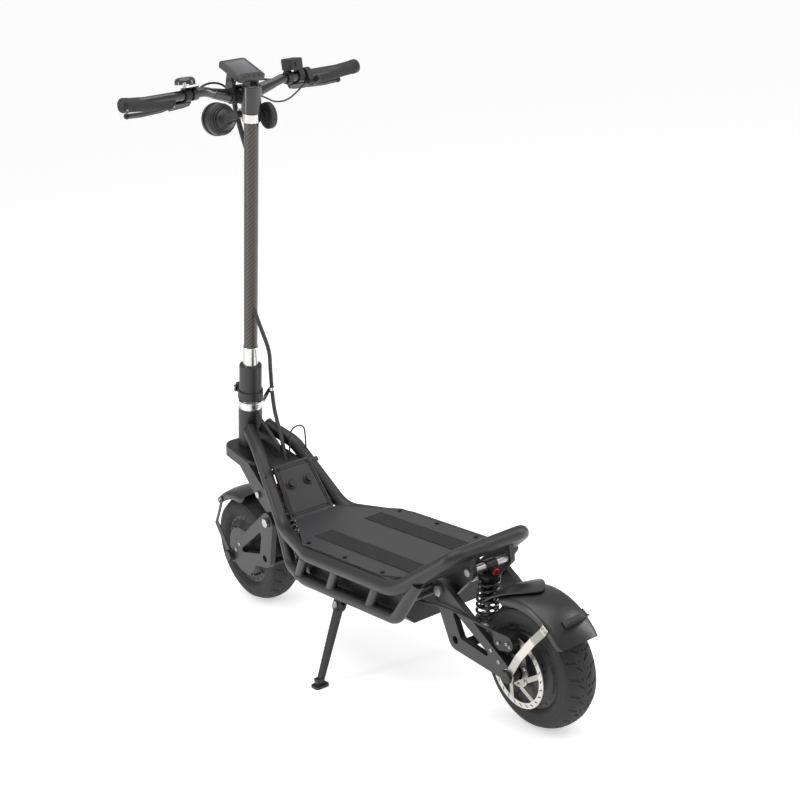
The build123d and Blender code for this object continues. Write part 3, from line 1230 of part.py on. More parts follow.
for name, axle_y, way in ENDS:
    axle = (0, axle_y, AXLE_Z)
    wheel_axis = Axis(axle, (1, 0, 0))
    section = Plane(origin=axle, x_dir=(1, 0, 0), z_dir=(0, -1, 0))
    pivot = reach(axle_y, way, ARM_REACH, PIVOT_Z)
    low_eye = reach(axle_y, way, SHOCK_LOW_REACH, SHOCK_LOW_Z)
    top_eye = reach(axle_y, way, SHOCK_TOP_REACH, SHOCK_TOP_Z)

    # Swingarm: two windowed arms, a bridge under the shock and its two ears
    corners = [pivot, low_eye, (axle_y, AXLE_Z)]
    middle = (sum(y for y, z in corners) / 3, sum(z for y, z in corners) / 3)
    with BuildPart() as swingarm:
        with BuildSketch(Plane.YZ.offset(ARM_X)):
            for corner, corner_r in zip(corners, (ARM_PIVOT_R, ARM_CORNER_R, ARM_TIP_R)):
                with Locations(corner):
                    Circle(corner_r)
            make_hull()
        extrude(amount=ARM_T)
        with BuildSketch(Plane.YZ.offset(ARM_X)):
            for y, z in corners:
                with Locations((middle[0] + 0.45 * (y - middle[0]), middle[1] + 0.45 * (z - middle[1]))):
                    Circle(6)
            make_hull()
        extrude(amount=ARM_T, mode=Mode.SUBTRACT)
        with BuildSketch(Plane.YZ.offset(PLATE_X + PLATE_T + 0.4)):
            with Locations(pivot):
                Circle(22)
        extrude(amount=ARM_X - PLATE_X - PLATE_T - 0.4)
        with BuildSketch(Plane.YZ.offset(14.5)):
            with Locations(low_eye):
                Circle(14)
            with Locations((low_eye[0], low_eye[1] - 11.5)):
                Rectangle(28, 23)
        extrude(amount=11.5)
        with BuildSketch(Plane.YZ):
            with Locations((low_eye[0], low_eye[1] - 18.5)):
                Rectangle(28, 9)
        extrude(amount=ARM_X)
        mirror(about=Plane.YZ)
        with BuildSketch(Plane.YZ.offset(-ARM_OUT_X)):
            with Locations(pivot):
                Circle(PIVOT_SHAFT_R + RUN_FIT)
            with Locations((axle_y, AXLE_Z)):
                Circle(AXLE_R + 0.02)
            with Locations(low_eye):
                Circle(SHOCK_BOLT_R + 0.02)
        extrude(amount=2 * ARM_OUT_X, mode=Mode.SUBTRACT)
        with BuildSketch(Plane.YZ.offset(26)):
            with Locations(low_eye):
                Circle(9)
        extrude(amount=ARM_OUT_X - 26, mode=Mode.SUBTRACT)
        with BuildSketch(Plane.YZ.offset(-26)):
            with Locations(low_eye):
                Circle(9)
        extrude(amount=26 - ARM_OUT_X, mode=Mode.SUBTRACT)
    swingarm.part.label = name + "_swingarm"
    export_step(swingarm.part, "parts/" + name + "_swingarm.step")

    # Axle with its nuts, spacers and the motor's fixed stator, and the lower shock bolt
    with BuildPart() as axle_set:
        with BuildSketch(Plane.YZ.offset(-NUT_X - HEX_H)):
            with Locations((axle_y, AXLE_Z)):
                Circle(AXLE_R)
        extrude(amount=2 * (NUT_X + HEX_H))
        for side in (1, -1):
            boss_x = DISC_X + DISC_T if side == way else HUB_FACE_X
            with BuildSketch(Plane.YZ.offset(side * NUT_X)):
                with Locations((axle_y, AXLE_Z)):
                    RegularPolygon(15, 6)
            extrude(amount=side * HEX_H)
            with BuildSketch(Plane.YZ.offset(side * (boss_x + 0.5))):
                with Locations((axle_y, AXLE_Z)):
                    Circle(12)
            extrude(amount=side * (ARM_X - boss_x - 0.5 - FACE_GAP))
            with BuildSketch(Plane.YZ.offset(side * 26.3)):
                with Locations(low_eye):
                    Circle(8)
            extrude(amount=side * 6)
        with BuildSketch(Plane.YZ.offset(-22)):
            with Locations((axle_y, AXLE_Z)):
                Circle(STATOR_R)
                with PolarLocations(STATOR_R - 10, STATOR_SLOTS):
                    Rectangle(20, 8, mode=Mode.SUBTRACT)
        extrude(amount=44)
        with BuildSketch(Plane.YZ.offset(-26.3)):
            with Locations(low_eye):
                Circle(SHOCK_BOLT_R)
        extrude(amount=52.6)
    axle_set.part.label = name + "_axle"
    export_step(axle_set.part, "parts/" + name + "_axle.step")

    # Hub motor casing with its magnet ring, two bearings and the valve
    with BuildPart() as hub:
        with BuildSketch(section):
            Polygon(
                (-HUB_FACE_X, BEARING_R + RUN_FIT),
                (-HUB_FACE_X, 62),
                (-36, 80),
                (-BEAD_HALF_W - 0.3 - RIM_FLANGE_W, RIM_FLANGE_R),
                (-BEAD_HALF_W - 0.3, RIM_FLANGE_R),
                (-BEAD_HALF_W - 0.3, BEAD_R - 0.3),
                (BEAD_HALF_W + 0.3, BEAD_R - 0.3),
                (BEAD_HALF_W + 0.3, RIM_FLANGE_R),
                (BEAD_HALF_W + 0.3 + RIM_FLANGE_W, RIM_FLANGE_R),
                (36, 80),
                (HUB_FACE_X, 62),
                (HUB_FACE_X, BEARING_R + RUN_FIT),
                align=None,
            )
            Polygon(
                (-37, BEARING_R + RUN_FIT),
                (-37, 60),
                (-28, 76),
                (-22, 76),
                (-22, STATOR_R + 1),
                (22, STATOR_R + 1),
                (22, 76),
                (28, 76),
                (37, 60),
                (37, BEARING_R + RUN_FIT),
                align=None,
                mode=Mode.SUBTRACT,
            )
            with Locations((way * (HUB_FACE_X + DISC_X) / 2, 25)):
                Rectangle(DISC_X - HUB_FACE_X, 18)
            with Locations((-42.5, 12.02), (42.5, 12.02)):
                Rectangle(11, 7.94)
        revolve(axis=wheel_axis)
        with BuildSketch(Plane.YZ.offset(-way * 34)):
            with Locations((axle_y + 63, AXLE_Z - 48)):
                Circle(3)
        extrude(amount=-way * 30)
    hub.part.label = name + "_hub"
    export_step(hub.part, "parts/" + name + "_hub.step")

    # Tyre: hollow carcass open at the beads
    with BuildPart() as tyre:
        with BuildSketch(section):
            Polygon(
                *TREAD,
                *TREAD_INSIDE,
                (0, 131),
                *[(-x, r) for x, r in TREAD_INSIDE[::-1]],
                *[(-x, r) for x, r in TREAD[::-1]],
                align=None,
            )
        revolve(axis=wheel_axis)
    tyre.part.label = name + "_tyre"
    export_step(tyre.part, "parts/" + name + "_tyre.step")

    # Brake disc: slotted band on six leaning spokes
    with BuildPart() as disc:
        with BuildSketch(Plane.YZ.offset(way * DISC_X)):
            with Locations((axle_y, AXLE_Z)):
                Circle(DISC_R)
                Circle(DISC_R - DISC_BAND, mode=Mode.SUBTRACT)
                Circle(33)
                with PolarLocations(49, 6):
                    Rectangle(44, 11, rotation=28)
                Circle(BEARING_R + 0.5, mode=Mode.SUBTRACT)
                with PolarLocations(DISC_R - 6.5, 24):
                    SlotOverall(9, 2.6, rotation=50, mode=Mode.SUBTRACT)
        extrude(amount=way * DISC_T)
    disc.part.label = name + "_disc"
    export_step(disc.part, "parts/" + name + "_disc.step")

    # Caliper over the disc, on a bracket plate beside the arm
    with BuildPart() as caliper:
        with BuildSketch(Plane.YZ.offset(way * 50)):
            for angle in (90, 113):
                turn = math.radians(angle)
                with Locations((axle_y + way * 70 * math.cos(turn), AXLE_Z + 70 * math.sin(turn))):
                    Circle(17)
            with Locations((axle_y - way * 38.5, AXLE_Z + 81)):
                Circle(7)
            make_hull()
        extrude(amount=way * 32)
        with BuildSketch(Plane.YZ.offset(way * (DISC_X - 0.7))):
            with Locations((axle_y, AXLE_Z)):
                Circle(DISC_R + 1.5)
        extrude(amount=way * (DISC_T + 1.4), mode=Mode.SUBTRACT)
        with BuildSketch(Plane.YZ.offset(way * 66)):
            with Locations((axle_y - way * 18, AXLE_Z + 58)):
                Circle(14)
            with Locations((axle_y - way * 42, AXLE_Z + 10)):
                Circle(11)
            make_hull()
        extrude(amount=way * (ARM_X - FACE_GAP - 66))
    caliper.part.label = name + "_caliper"
    export_step(caliper.part, "parts/" + name + "_caliper.step")

    # Fender shell with a stay each side that shares the axle
    fender_from, fender_to = FENDER_ARC[name]
    knee = STAY_KNEE[name]
    start = math.radians(fender_from)
    lean = math.radians(STAY_ANGLE[name])
    stay_plane = Plane(origin=axle, x_dir=(1, 0, 0), z_dir=(0, -math.sin(lean), math.cos(lean)))
    with BuildPart() as fender:
        with BuildSketch(Plane(origin=axle, x_dir=(1, 0, 0), z_dir=(0, -math.sin(start), math.cos(start)))):
            Polygon(*FENDER_OUT, *FENDER_IN, align=None)
        revolve(axis=wheel_axis, revolution_arc=fender_to - fender_from)
        with BuildSketch(stay_plane.offset(-9)):
            Polygon(
                (STAY_X + STAY_T, 0),
                (STAY_X + STAY_T, knee),
                (72.2, 114.6),
                (54.3, 139.6),
                (54.3, 152),
                (52.3, 152),
                (52.3, 138.4),
                (70, 113.4),
                (STAY_X, knee - 1.4),
                (STAY_X, 0),
                align=None,
            )
        extrude(amount=18)
        with BuildSketch(Plane.YZ.offset(STAY_X)):
            with Locations((axle_y, AXLE_Z)):
                Circle(15)
        extrude(amount=STAY_T)
        for bolt_r in (142.5, 149):
            head = stay_plane.from_local_coords(Vector(52, bolt_r, 3 * (bolt_r - 145.7)))
            with BuildSketch(Plane(origin=head, z_dir=(1, 0, 0))):
                Circle(2.6)
            extrude(amount=5)
        mirror(about=Plane.YZ)
        with BuildSketch(Plane.YZ.offset(-ARM_OUT_X - 3)):
            with Locations((axle_y, AXLE_Z)):
                Circle(AXLE_R + 0.02)
        extrude(amount=2 * (ARM_OUT_X + 3), mode=Mode.SUBTRACT)
    fender.part.label = name + "_fender"
    export_step(fender.part, "parts/" + name + "_fender.step")

    # Shock: damper body hung from the upper bolt
    stroke = Vector(0, top_eye[0] - low_eye[0], top_eye[1] - low_eye[1])
    shock = Plane(origin=(0, *low_eye), x_dir=(1, 0, 0), z_dir=stroke)
    with BuildPart() as shock_body:
        with BuildSketch(shock.offset(70)):
            Circle(DAMPER_R)
        extrude(amount=73)
        with BuildSketch(shock.offset(SPRING_HIGH + FACE_GAP)):
            Circle(PERCH_R)
        extrude(amount=6)
        with BuildSketch(shock.offset(143)):
            Circle(10)
        extrude(amount=stroke.length - 143)
        with BuildSketch(Plane(origin=shock.from_local_coords(Vector(0, 0, 149)), z_dir=shock.y_dir)):
            Circle(7.5)
        extrude(amount=24)
        with BuildSketch(Plane.YZ.offset(-EYE_HALF_W)):
            with Locations(top_eye):
                Circle(EYE_R)
        extrude(amount=2 * EYE_HALF_W)
        with BuildSketch(Plane.YZ.offset(-EYE_HALF_W)):
            with Locations(top_eye):
                Circle(SHOCK_BOLT_R + RUN_FIT)
        extrude(amount=2 * EYE_HALF_W, mode=Mode.SUBTRACT)
        with BuildSketch(shock.offset(78)):
            Circle(DAMPER_BORE_R)
        extrude(amount=60, mode=Mode.SUBTRACT)
        with BuildSketch(shock.offset(70)):
            Circle(ROD_R + RUN_FIT)
        extrude(amount=8, mode=Mode.SUBTRACT)
    shock_body.part.label = name + "_shock_body"
    export_step(shock_body.part, "parts/" + name + "_shock_body.step")

    # Shock rod with its piston, lower perch and lower eye
    with BuildPart() as shock_rod:
        with BuildSketch(shock.offset(9)):
            Circle(ROD_R)
        extrude(amount=109)
        with BuildSketch(shock.offset(100)):
            Circle(DAMPER_BORE_R - RUN_FIT)
        extrude(amount=10)
        with BuildSketch(shock.offset(SPRING_LOW - FACE_GAP - 5)):
            Circle(PERCH_R - 1)
        extrude(amount=5)
        with BuildSketch(Plane.YZ.offset(-EYE_HALF_W)):
            with Locations(low_eye):
                Circle(EYE_R)
        extrude(amount=2 * EYE_HALF_W)
        with BuildSketch(Plane.YZ.offset(-EYE_HALF_W)):
            with Locations(low_eye):
                Circle(SHOCK_BOLT_R + LOW_EYE_PLAY)
        extrude(amount=2 * EYE_HALF_W, mode=Mode.SUBTRACT)
    shock_rod.part.label = name + "_shock_rod"
    export_step(shock_rod.part, "parts/" + name + "_shock_rod.step")

    # Spring: round wire between the two perches
    coil_h = SPRING_HIGH - SPRING_LOW - 2 * SPRING_WIRE_R
    with BuildPart() as spring:
        with BuildLine() as coil:
            Helix(
                pitch=coil_h / SPRING_TURNS,
                height=coil_h,
                radius=SPRING_R,
                center=shock.offset(SPRING_LOW + SPRING_WIRE_R).origin,
                direction=shock.z_dir,
            )
        with BuildSketch(Plane(origin=coil.line @ 0, z_dir=coil.line % 0)):
            Circle(SPRING_WIRE_R)
        sweep(path=coil.line, is_frenet=True)
    spring.part.label = name + "_spring"
    export_step(spring.part, "parts/" + name + "_spring.step")

# Tail bracket: upright plate with two holes on the rear fender
BRACKET_AT = math.radians(47.5)
BRACKET = Plane(
    origin=(0, WHEELBASE / 2, AXLE_Z), x_dir=(1, 0, 0), z_dir=(0, -math.sin(BRACKET_AT), math.cos(BRACKET_AT))
)
BRACKET_LOW_R = 163.3
BRACKET_HIGH_R = 191
with BuildPart() as tail_bracket:
    with BuildSketch(BRACKET.offset(-9)):
        with Locations((-5, (BRACKET_LOW_R + BRACKET_HIGH_R) / 2)):
            Rectangle(50, BRACKET_HIGH_R - BRACKET_LOW_R)
        with Locations((-20, 182), (10, 182)):
            Circle(2.6, mode=Mode.SUBTRACT)
    extrude(amount=2)
    with BuildSketch(BRACKET.offset(-9)):
        with Locations((-5, BRACKET_LOW_R + 1)):
            Rectangle(50, 2)
    extrude(amount=18)
tail_bracket.part.label = "tail_bracket"
export_step(tail_bracket.part, "parts/tail_bracket.step")
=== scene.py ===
import math

import bmesh
import bpy
from mathutils import Matrix, Vector


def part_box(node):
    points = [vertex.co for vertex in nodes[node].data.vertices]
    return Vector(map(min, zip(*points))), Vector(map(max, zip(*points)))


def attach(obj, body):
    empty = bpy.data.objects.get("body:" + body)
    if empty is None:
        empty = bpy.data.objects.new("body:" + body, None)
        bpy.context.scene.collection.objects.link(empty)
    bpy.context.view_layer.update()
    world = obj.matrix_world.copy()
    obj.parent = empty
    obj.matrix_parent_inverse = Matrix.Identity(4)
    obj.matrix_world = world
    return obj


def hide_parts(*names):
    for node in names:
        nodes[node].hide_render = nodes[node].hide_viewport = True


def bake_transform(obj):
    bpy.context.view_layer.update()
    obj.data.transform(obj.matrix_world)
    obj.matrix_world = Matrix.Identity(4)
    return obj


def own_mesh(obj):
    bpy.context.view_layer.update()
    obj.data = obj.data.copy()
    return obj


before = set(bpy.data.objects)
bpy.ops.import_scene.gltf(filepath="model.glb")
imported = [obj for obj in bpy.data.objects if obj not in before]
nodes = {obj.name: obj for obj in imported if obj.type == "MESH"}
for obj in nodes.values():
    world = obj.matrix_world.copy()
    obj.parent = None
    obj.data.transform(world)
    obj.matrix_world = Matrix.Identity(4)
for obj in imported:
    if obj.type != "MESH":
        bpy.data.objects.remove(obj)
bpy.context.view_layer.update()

# ---- Camera and stage ----------------------------------------------------------------
# A white infinity floor under a bright, even sky, with a large softbox overhead and a
# strip on each side, as for a catalogue picture of a dark machine.
def vec(*millimetres):
    return Vector(millimetres) / 1000


camera = bpy.data.objects.new("camera", bpy.data.cameras.new("camera"))
bpy.context.collection.objects.link(camera)
camera.data.lens = 75.97
camera.data.sensor_width = 36
camera.data.clip_end = 1000
look_right = Vector((-0.79683, 0.59372, -0.11203))
look_up = Vector((-0.24776, -0.15198, 0.95683))
look_back = Vector((0.55106, 0.79018, 0.26820))
turn = Matrix((look_right, look_up, look_back)).transposed().to_4x4()
camera.matrix_world = Matrix.Translation(vec(2033.7, 3074.2, 1637.7)) @ turn
bpy.context.scene.camera = camera
bpy.context.scene.view_settings.view_transform = "Standard"

floor_mesh = bpy.data.meshes.new("floor")
floor_mesh.from_pydata([(-400, -400, 0), (400, -400, 0), (400, 400, 0), (-400, 400, 0)], [], [(0, 1, 2, 3)])
floor = bpy.data.objects.new("floor", floor_mesh)
bpy.context.collection.objects.link(floor)
floor_mat = bpy.data.materials.new("pale floor")
floor_mat.use_nodes = True
floor_look = floor_mat.node_tree.nodes["Principled BSDF"].inputs
floor_look["Base Color"].default_value = (0.93, 0.93, 0.935, 1)
floor_look["Roughness"].default_value = 0.6
floor_look["Specular IOR Level"].default_value = 0.1
floor_look["Emission Color"].default_value = (1, 1, 1, 1)
floor_look["Emission Strength"].default_value = 0.46
floor_mesh.materials.append(floor_mat)

# The sky lights softly, but looks pure white to the camera
world = bpy.data.worlds.new("sky")
bpy.context.scene.world = world
world.use_nodes = True
sky_tree = world.node_tree
sky = sky_tree.nodes["Background"]
sky.inputs["Color"].default_value = (1, 1, 1, 1)
sky.inputs["Strength"].default_value = 0.55
backdrop = sky_tree.nodes.new("ShaderNodeBackground")
backdrop.inputs["Color"].default_value = (1, 1, 1, 1)
backdrop.inputs["Strength"].default_value = 1.0
seen = sky_tree.nodes.new("ShaderNodeLightPath")
sky_mix = sky_tree.nodes.new("ShaderNodeMixShader")
sky_tree.links.new(seen.outputs["Is Camera Ray"], sky_mix.inputs[0])
sky_tree.links.new(sky.outputs[0], sky_mix.inputs[1])
sky_tree.links.new(backdrop.outputs[0], sky_mix.inputs[2])
sky_tree.links.new(sky_mix.outputs[0], sky_tree.nodes["World Output"].inputs[0])


def softbox(name, at, aim, width, height, watts):
    light = bpy.data.lights.new(name, "AREA")
    light.shape = "RECTANGLE"
    light.size, light.size_y, light.energy = width, height, watts
    lamp = bpy.data.objects.new(name, light)
    lamp.location = at
    lamp.rotation_euler = (Vector(aim) - Vector(at)).to_track_quat("-Z", "Y").to_euler()
    bpy.context.collection.objects.link(lamp)


softbox("overhead", (0.3, 0.2, 3.6), (0, 0, 0.4), 3.4, 3.4, 78)
softbox("left_strip", (3.4, -1.2, 1.5), (0, 0, 0.5), 0.8, 2.6, 46)
softbox("back_strip", (-2.6, 1.6, 1.9), (0, 0, 0.5), 0.8, 2.4, 40)

# ---- Painted frame -------------------------------------------------------------------
# Head tube, bent rails, struts, gussets, neck panel and tray are steel and sheet,
# welded together and powder-coated charcoal: satin, faintly pebbled, with a painted highlight on the edges.
class Wire:
    """One output socket of a shader node, which expressions can be written with."""

    def __init__(self, tree, socket):
        self.tree, self.socket = tree, socket

    def math(self, operation, *values):
        made = self.tree.nodes.new("ShaderNodeMath")
        made.operation = operation
        for slot, value in zip(made.inputs, values):
            if isinstance(value, Wire):
                self.tree.links.new(value.socket, slot)
            else:
                slot.default_value = value
        return Wire(self.tree, made.outputs[0])

    def __add__(self, other):
        return self.math("ADD", self, other)

    def __radd__(self, other):
        return self.math("ADD", other, self)

    def __sub__(self, other):
        return self.math("SUBTRACT", self, other)

    def __rsub__(self, other):
        return self.math("SUBTRACT", other, self)

    def __mul__(self, other):
        return self.math("MULTIPLY", self, other)

    def __rmul__(self, other):
        return self.math("MULTIPLY", other, self)

    def __truediv__(self, other):
        return self.math("DIVIDE", self, other)

    def __pow__(self, other):
        return self.math("POWER", self, other)

    def __gt__(self, other):
        return self.math("GREATER_THAN", self, other)

    def __lt__(self, other):
        return self.math("LESS_THAN", self, other)

    def __abs__(self):
        return self.math("ABSOLUTE", self)

    def fraction(self):
        return self.math("FRACT", self)

    def whole(self):
        return self.math("FLOOR", self)

    def sine(self):
        return self.math("SINE", self)

    def least(self, other):
        return self.math("MINIMUM", self, other)

    def angle_to(self, other):
        return self.math("ARCTAN2", self, other)

    def ramp(self, low, high):
        """0 below low, 1 above high, smooth between."""
        made = self.tree.nodes.new("ShaderNodeMapRange")
        made.interpolation_type = "SMOOTHSTEP"
        self.tree.links.new(self.socket, made.inputs["Value"])
        made.inputs["From Min"].default_value = low
        made.inputs["From Max"].default_value = high
        return Wire(self.tree, made.outputs[0])


class Finish:
    """A material whose surface is built from nodes round one Principled shader."""

    def __init__(self, name, **fixed):
        self.material = bpy.data.materials.new(name)
        self.material.use_nodes = True
        self.tree = self.material.node_tree
        self.shader = self.tree.nodes["Principled BSDF"]
        for key, value in fixed.items():
            self.shader.inputs[key.replace("_", " ").title().replace("Ior", "IOR")].default_value = value
        self.at = self.node("TexCoord", output="Object")

    def node(self, kind, settings=None, inputs=None, output=0):
        made = self.tree.nodes.new("ShaderNode" + kind)
        for key, value in (settings or {}).items():
            setattr(made, key, value)
        for key, value in (inputs or {}).items():
            if isinstance(value, Wire):
                self.tree.links.new(value.socket, made.inputs[key])
            else:
                made.inputs[key].default_value = value
        return Wire(self.tree, made.outputs[output])

    def axes(self, origin=(0, 0, 0), tilt=0.0):
        """x, y and z of a frame at origin that is tilted back about X, in degrees."""
        placed = {"Vector": self.at, "Location": origin, "Rotation": (math.radians(tilt), 0, 0)}
        moved = self.node("Mapping", {"vector_type": "TEXTURE"}, placed)
        return tuple(self.node("SeparateXYZ", {}, {0: moved}, output=i) for i in range(3))

    def noise(self, scale, detail=2.0, rough=0.5, at=None):
        links = {"Vector": at or self.at, "Scale": scale, "Detail": detail, "Roughness": rough}
        return self.node("TexNoise", {}, links)

    def blend(self, mask, first, second):
        """Colour first where mask is 0 and second where it is 1."""
        full = [(*c, 1) if isinstance(c, tuple) else c for c in (first, second)]
        return self.node("Mix", {"data_type": "RGBA"}, {0: mask, 6: full[0], 7: full[1]}, output=2)

    def edges(self, radius, gain=6.0):
        """Rounds sharp edges to radius; returns the rounded normal and an edge mask."""
        rounded = self.node("Bevel", {"samples": 4}, {"Radius": radius})
        plain = self.node("NewGeometry", output="Normal")
        same = self.node("VectorMath", {"operation": "DOT_PRODUCT"}, {0: rounded, 1: plain}, output=1)
        return rounded, ((1 - same) * gain).least(1.0)

    def bump(self, height, depth, normal=None):
        links = {"Height": height, "Strength": 1.0, "Distance": depth}
        if normal is not None:
            links["Normal"] = normal
        self.feed("Normal", self.node("Bump", {}, links))

    def feed(self, name, wire):
        self.tree.links.new(wire.socket, self.shader.inputs[name])

    def cover(self, *names):
        """Gives this finish to CAD nodes."""
        for name in names:
            nodes[name].data.materials.clear()
            nodes[name].data.materials.append(self.material)


def powder_coat(name, tone, rough):
    """Satin powder coat: fine pebble, cloudy roughness and a painted highlight in patches along the edges.
    """
    coat = Finish(name, Specular_Ior_Level=0.5)
    rounded, edge = coat.edges(0.0009)
    cloud = coat.noise(14, 3)
    pebble = coat.noise(1500, 1)
    # Painted highlight: the edges are lightened, in patches
    patchy_edge_highlight = (edge * coat.noise(60, 3).ramp(0.35, 0.75)).least(1.0)
    dark = tuple(0.86 * c for c in tone)
    light = tuple(1.12 * c for c in tone)
    # The lighter colour of the painted edge highlight
    edge_highlight_tone = tuple(2.6 * c + 0.01 for c in tone)
    coat.feed("Base Color", coat.blend(patchy_edge_highlight * 0.55, coat.blend(cloud, dark, light), edge_highlight_tone))
    coat.feed("Roughness", rough - 0.07 + 0.14 * cloud + 0.05 * pebble)
    coat.bump(pebble, 0.00006, rounded)
    return coat


charcoal = powder_coat("charcoal powder coat", (0.0135, 0.0130, 0.0145), 0.40)
charcoal.cover("head_tube", "upper_rails", "lower_rails", "side_struts", "frame_gussets")
charcoal.cover("neck_panel", "battery_tray", "lock_sleeve", "kickstand")


def piece(name, bm, body, finish, sharp=32):
    """A new mesh piece from bm, smooth-shaded, riding on a CAD body."""
    mesh = bpy.data.meshes.new(name)
    bmesh.ops.recalc_face_normals(bm, faces=bm.faces)
    bm.to_mesh(mesh)
    bm.free()
    mesh.polygons.foreach_set("use_smooth", [True] * len(mesh.polygons))
    mesh.set_sharp_from_angle(angle=math.radians(sharp))
    made = bpy.data.objects.new(name, mesh)
    bpy.context.collection.objects.link(made)
    mesh.materials.append(finish.material)
    if body:
        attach(made, body)
    return made


def frame_at(origin, axis, side=None):
    """A matrix whose Z is axis and whose X leans to side."""
    z = Vector(axis).normalized()
    hint = Vector(side) if side else (Vector((1, 0, 0)) if abs(z.x) < 0.9 else Vector((0, 1, 0)))
    x = (hint - z * hint.dot(z)).normalized()
    made = Matrix((x, z.cross(x), z)).transposed().to_4x4()
    made.translation = Vector(origin)
    return made


def loop_tube(bm, points, radius, sides=10, closed=True, swell=None):
    """A round tube along points; swell gives a factor on the radius at each point."""
    count = len(points)
    rings = []
    side = None
    for i, here in enumerate(points):
        ahead = points[(i + 1) % count] if closed or i < count - 1 else here
        behind = points[i - 1] if closed or i else here
        along = (ahead - behind).normalized()
        if side is None:
            side = along.orthogonal().normalized()
        side = (side - along * side.dot(along)).normalized()
        up = along.cross(side)
        r = radius * (swell(i) if swell else 1)
        ring = []
        for k in range(sides):
            a = 2 * math.pi * k / sides
            ring.append(bm.verts.new(here + r * (math.cos(a) * side + math.sin(a) * up)))
        rings.append(ring)
    for i in range(count if closed else count - 1):
        one, two = rings[i], rings[(i + 1) % count]
        shift = 0
        if closed and i == count - 1:
            shift = min(range(sides), key=lambda s: (one[0].co - two[s].co).length)
        for k in range(sides):
            after = (k + 1) % sides
            bm.faces.new((one[k], one[after], two[(after + shift) % sides], two[(k + shift) % sides]))
    if not closed:
        bm.faces.new(rings[0])
        bm.faces.new(rings[-1])


def weld_bead(bm, start, along, radius, other_at, other_along, other_radius, bead=1.6):
    """A rippled bead where a tube that leaves start meets another round tube."""
    along, other_along = Vector(along).normalized(), Vector(other_along).normalized()
    basis = frame_at(start, along)
    points = []
    for k in range(72):
        turn = 2 * math.pi * k / 72
        ray = basis @ Vector((radius * math.cos(turn), radius * math.sin(turn), 0))
        low, high = 0.0, 90.0
        for _ in range(22):
            mid = (low + high) / 2
            off = ray + along * mid - Vector(other_at)
            if (off - other_along * off.dot(other_along)).length > other_radius:
                low = mid
            else:
                high = mid
        points.append((ray + along * low) / 1000)
    loop_tube(bm, points, bead / 1000, 8, True, lambda i: 1 + 0.13 * math.sin(i * 2.1))


def on_steer(x, back, along):
    """A point x to the left, back behind the steering axis and along it, in mm."""
    up, forward = steer_axis.z, steer_axis.y
    return Vector((x, -637 + along * forward + back * up, along * up - back * forward))


UPPER_RAIL_R, LOWER_RAIL_R, STRUT_R, HEAD_TUBE_R = 16.5, 15, 12, 30
steer_axis = Vector((0, 0.2558, 0.9667))
welds = bmesh.new()
for way in (-1, 1):
    for strut_y in (-150, -20, 137):
        low_end, high_end = Vector((way * 132, strut_y, 198)), Vector((way * 150, strut_y + 72, 277.7))
        lean = (high_end - low_end).normalized()
        middle = (low_end + high_end) / 2
        weld_bead(welds, middle, lean, STRUT_R, high_end, (0, 1, 0), UPPER_RAIL_R)
        weld_bead(welds, middle, -lean, STRUT_R, low_end, (0, 1, 0), LOWER_RAIL_R)
    neck_in, neck_out = Vector((way * 26, -472, 476)), Vector((way * 52, -395, 438))
    up_neck = neck_in - neck_out
    weld_bead(welds, neck_out, up_neck, UPPER_RAIL_R, on_steer(0, 0, 500), steer_axis, HEAD_TUBE_R, 1.9)
piece("weld_beads", welds, "chassis", charcoal, 80)

# ---- Deck, grip strips and tray light strips -----------------------------------------
# The deck is a folded aluminium sheet, painted dark grey and screwed down; two grit
# tapes are stuck on it. Each light strip is a black carrier with small warm diodes.
deck = powder_coat("dark grey deck sheet", (0.030, 0.0295, 0.0320), 0.44)
deck.cover("deck_plate")

grit = Finish("grit tape")
grain = grit.noise(520, 3, 0.8)
sparkle = grit.node("TexVoronoi", {}, {"Vector": grit.at, "Scale": 620.0}, output="Distance")
glint = grit.noise(900, 1) > 0.66
grit.feed("Base Color", grit.blend(grain.ramp(0.35, 0.75), (0.004, 0.004, 0.0045), (0.032, 0.031, 0.031)))
grit.feed("Roughness", 0.92 - 0.35 * glint)
grit.bump(grain + (1 - sparkle), 0.0006)
grit.cover("grip_strips")

carrier = Finish("light strip", Emission_Strength=0.55)
diode = abs(carrier.axes()[0]) > 0.1125
carrier.feed("Base Color", carrier.blend(diode, (0.012, 0.012, 0.012), (0.86, 0.80, 0.52)))
carrier.feed("Emission Color", carrier.blend(diode, (0, 0, 0), (1.0, 0.86, 0.50)))
carrier.feed("Roughness", 0.5 - 0.2 * diode + 0.05 * carrier.noise(300))
carrier.cover("led_strips")

rim_line = bmesh.new()
left_edge = [(60, -250), (144, -94), (144, 213), (104, 305)]
edge_points = []
for x, y in left_edge + [(-x, y) for x, y in left_edge[::-1]]:
    inward = Vector((-x, 30 - y, 0)).normalized() * 1.4
    edge_points.append((Vector((x, y, 297.4)) + inward) / 1000)
loop_tube(rim_line, edge_points, 0.0011, 8)
piece("deck_folded_edge", rim_line, "chassis", deck, 80)

# ---- Fasteners -----------------------------------------------------------------------
# Zinc-plated bolts and pivot shafts, turned and slightly dull, and button-head screws
# with hex sockets that hold the deck, the panel, the discs and the fender stays.
zinc = Finish("zinc plated steel", Metallic=1.0)
turning = zinc.noise(260, 3)
spots = zinc.noise(40, 4)
zinc.feed("Base Color", zinc.blend(spots, (0.34, 0.33, 0.32), (0.58, 0.57, 0.55)))
zinc.feed("Roughness", 0.24 + 0.16 * spots + 0.06 * turning)
zinc.bump(turning, 0.00005, zinc.edges(0.0006)[0])
zinc.cover("steering_bolts", "front_shock_rod", "rear_shock_rod", "bell_striker")

blackened = Finish("black oxide screw", Metallic=0.6)
oxide = blackened.noise(90, 3)
blackened.feed("Base Color", blackened.blend(oxide, (0.018, 0.018, 0.019), (0.05, 0.049, 0.048)))
blackened.feed("Roughness", 0.34 + 0.15 * oxide)
blackened.cover("front_axle", "rear_axle")

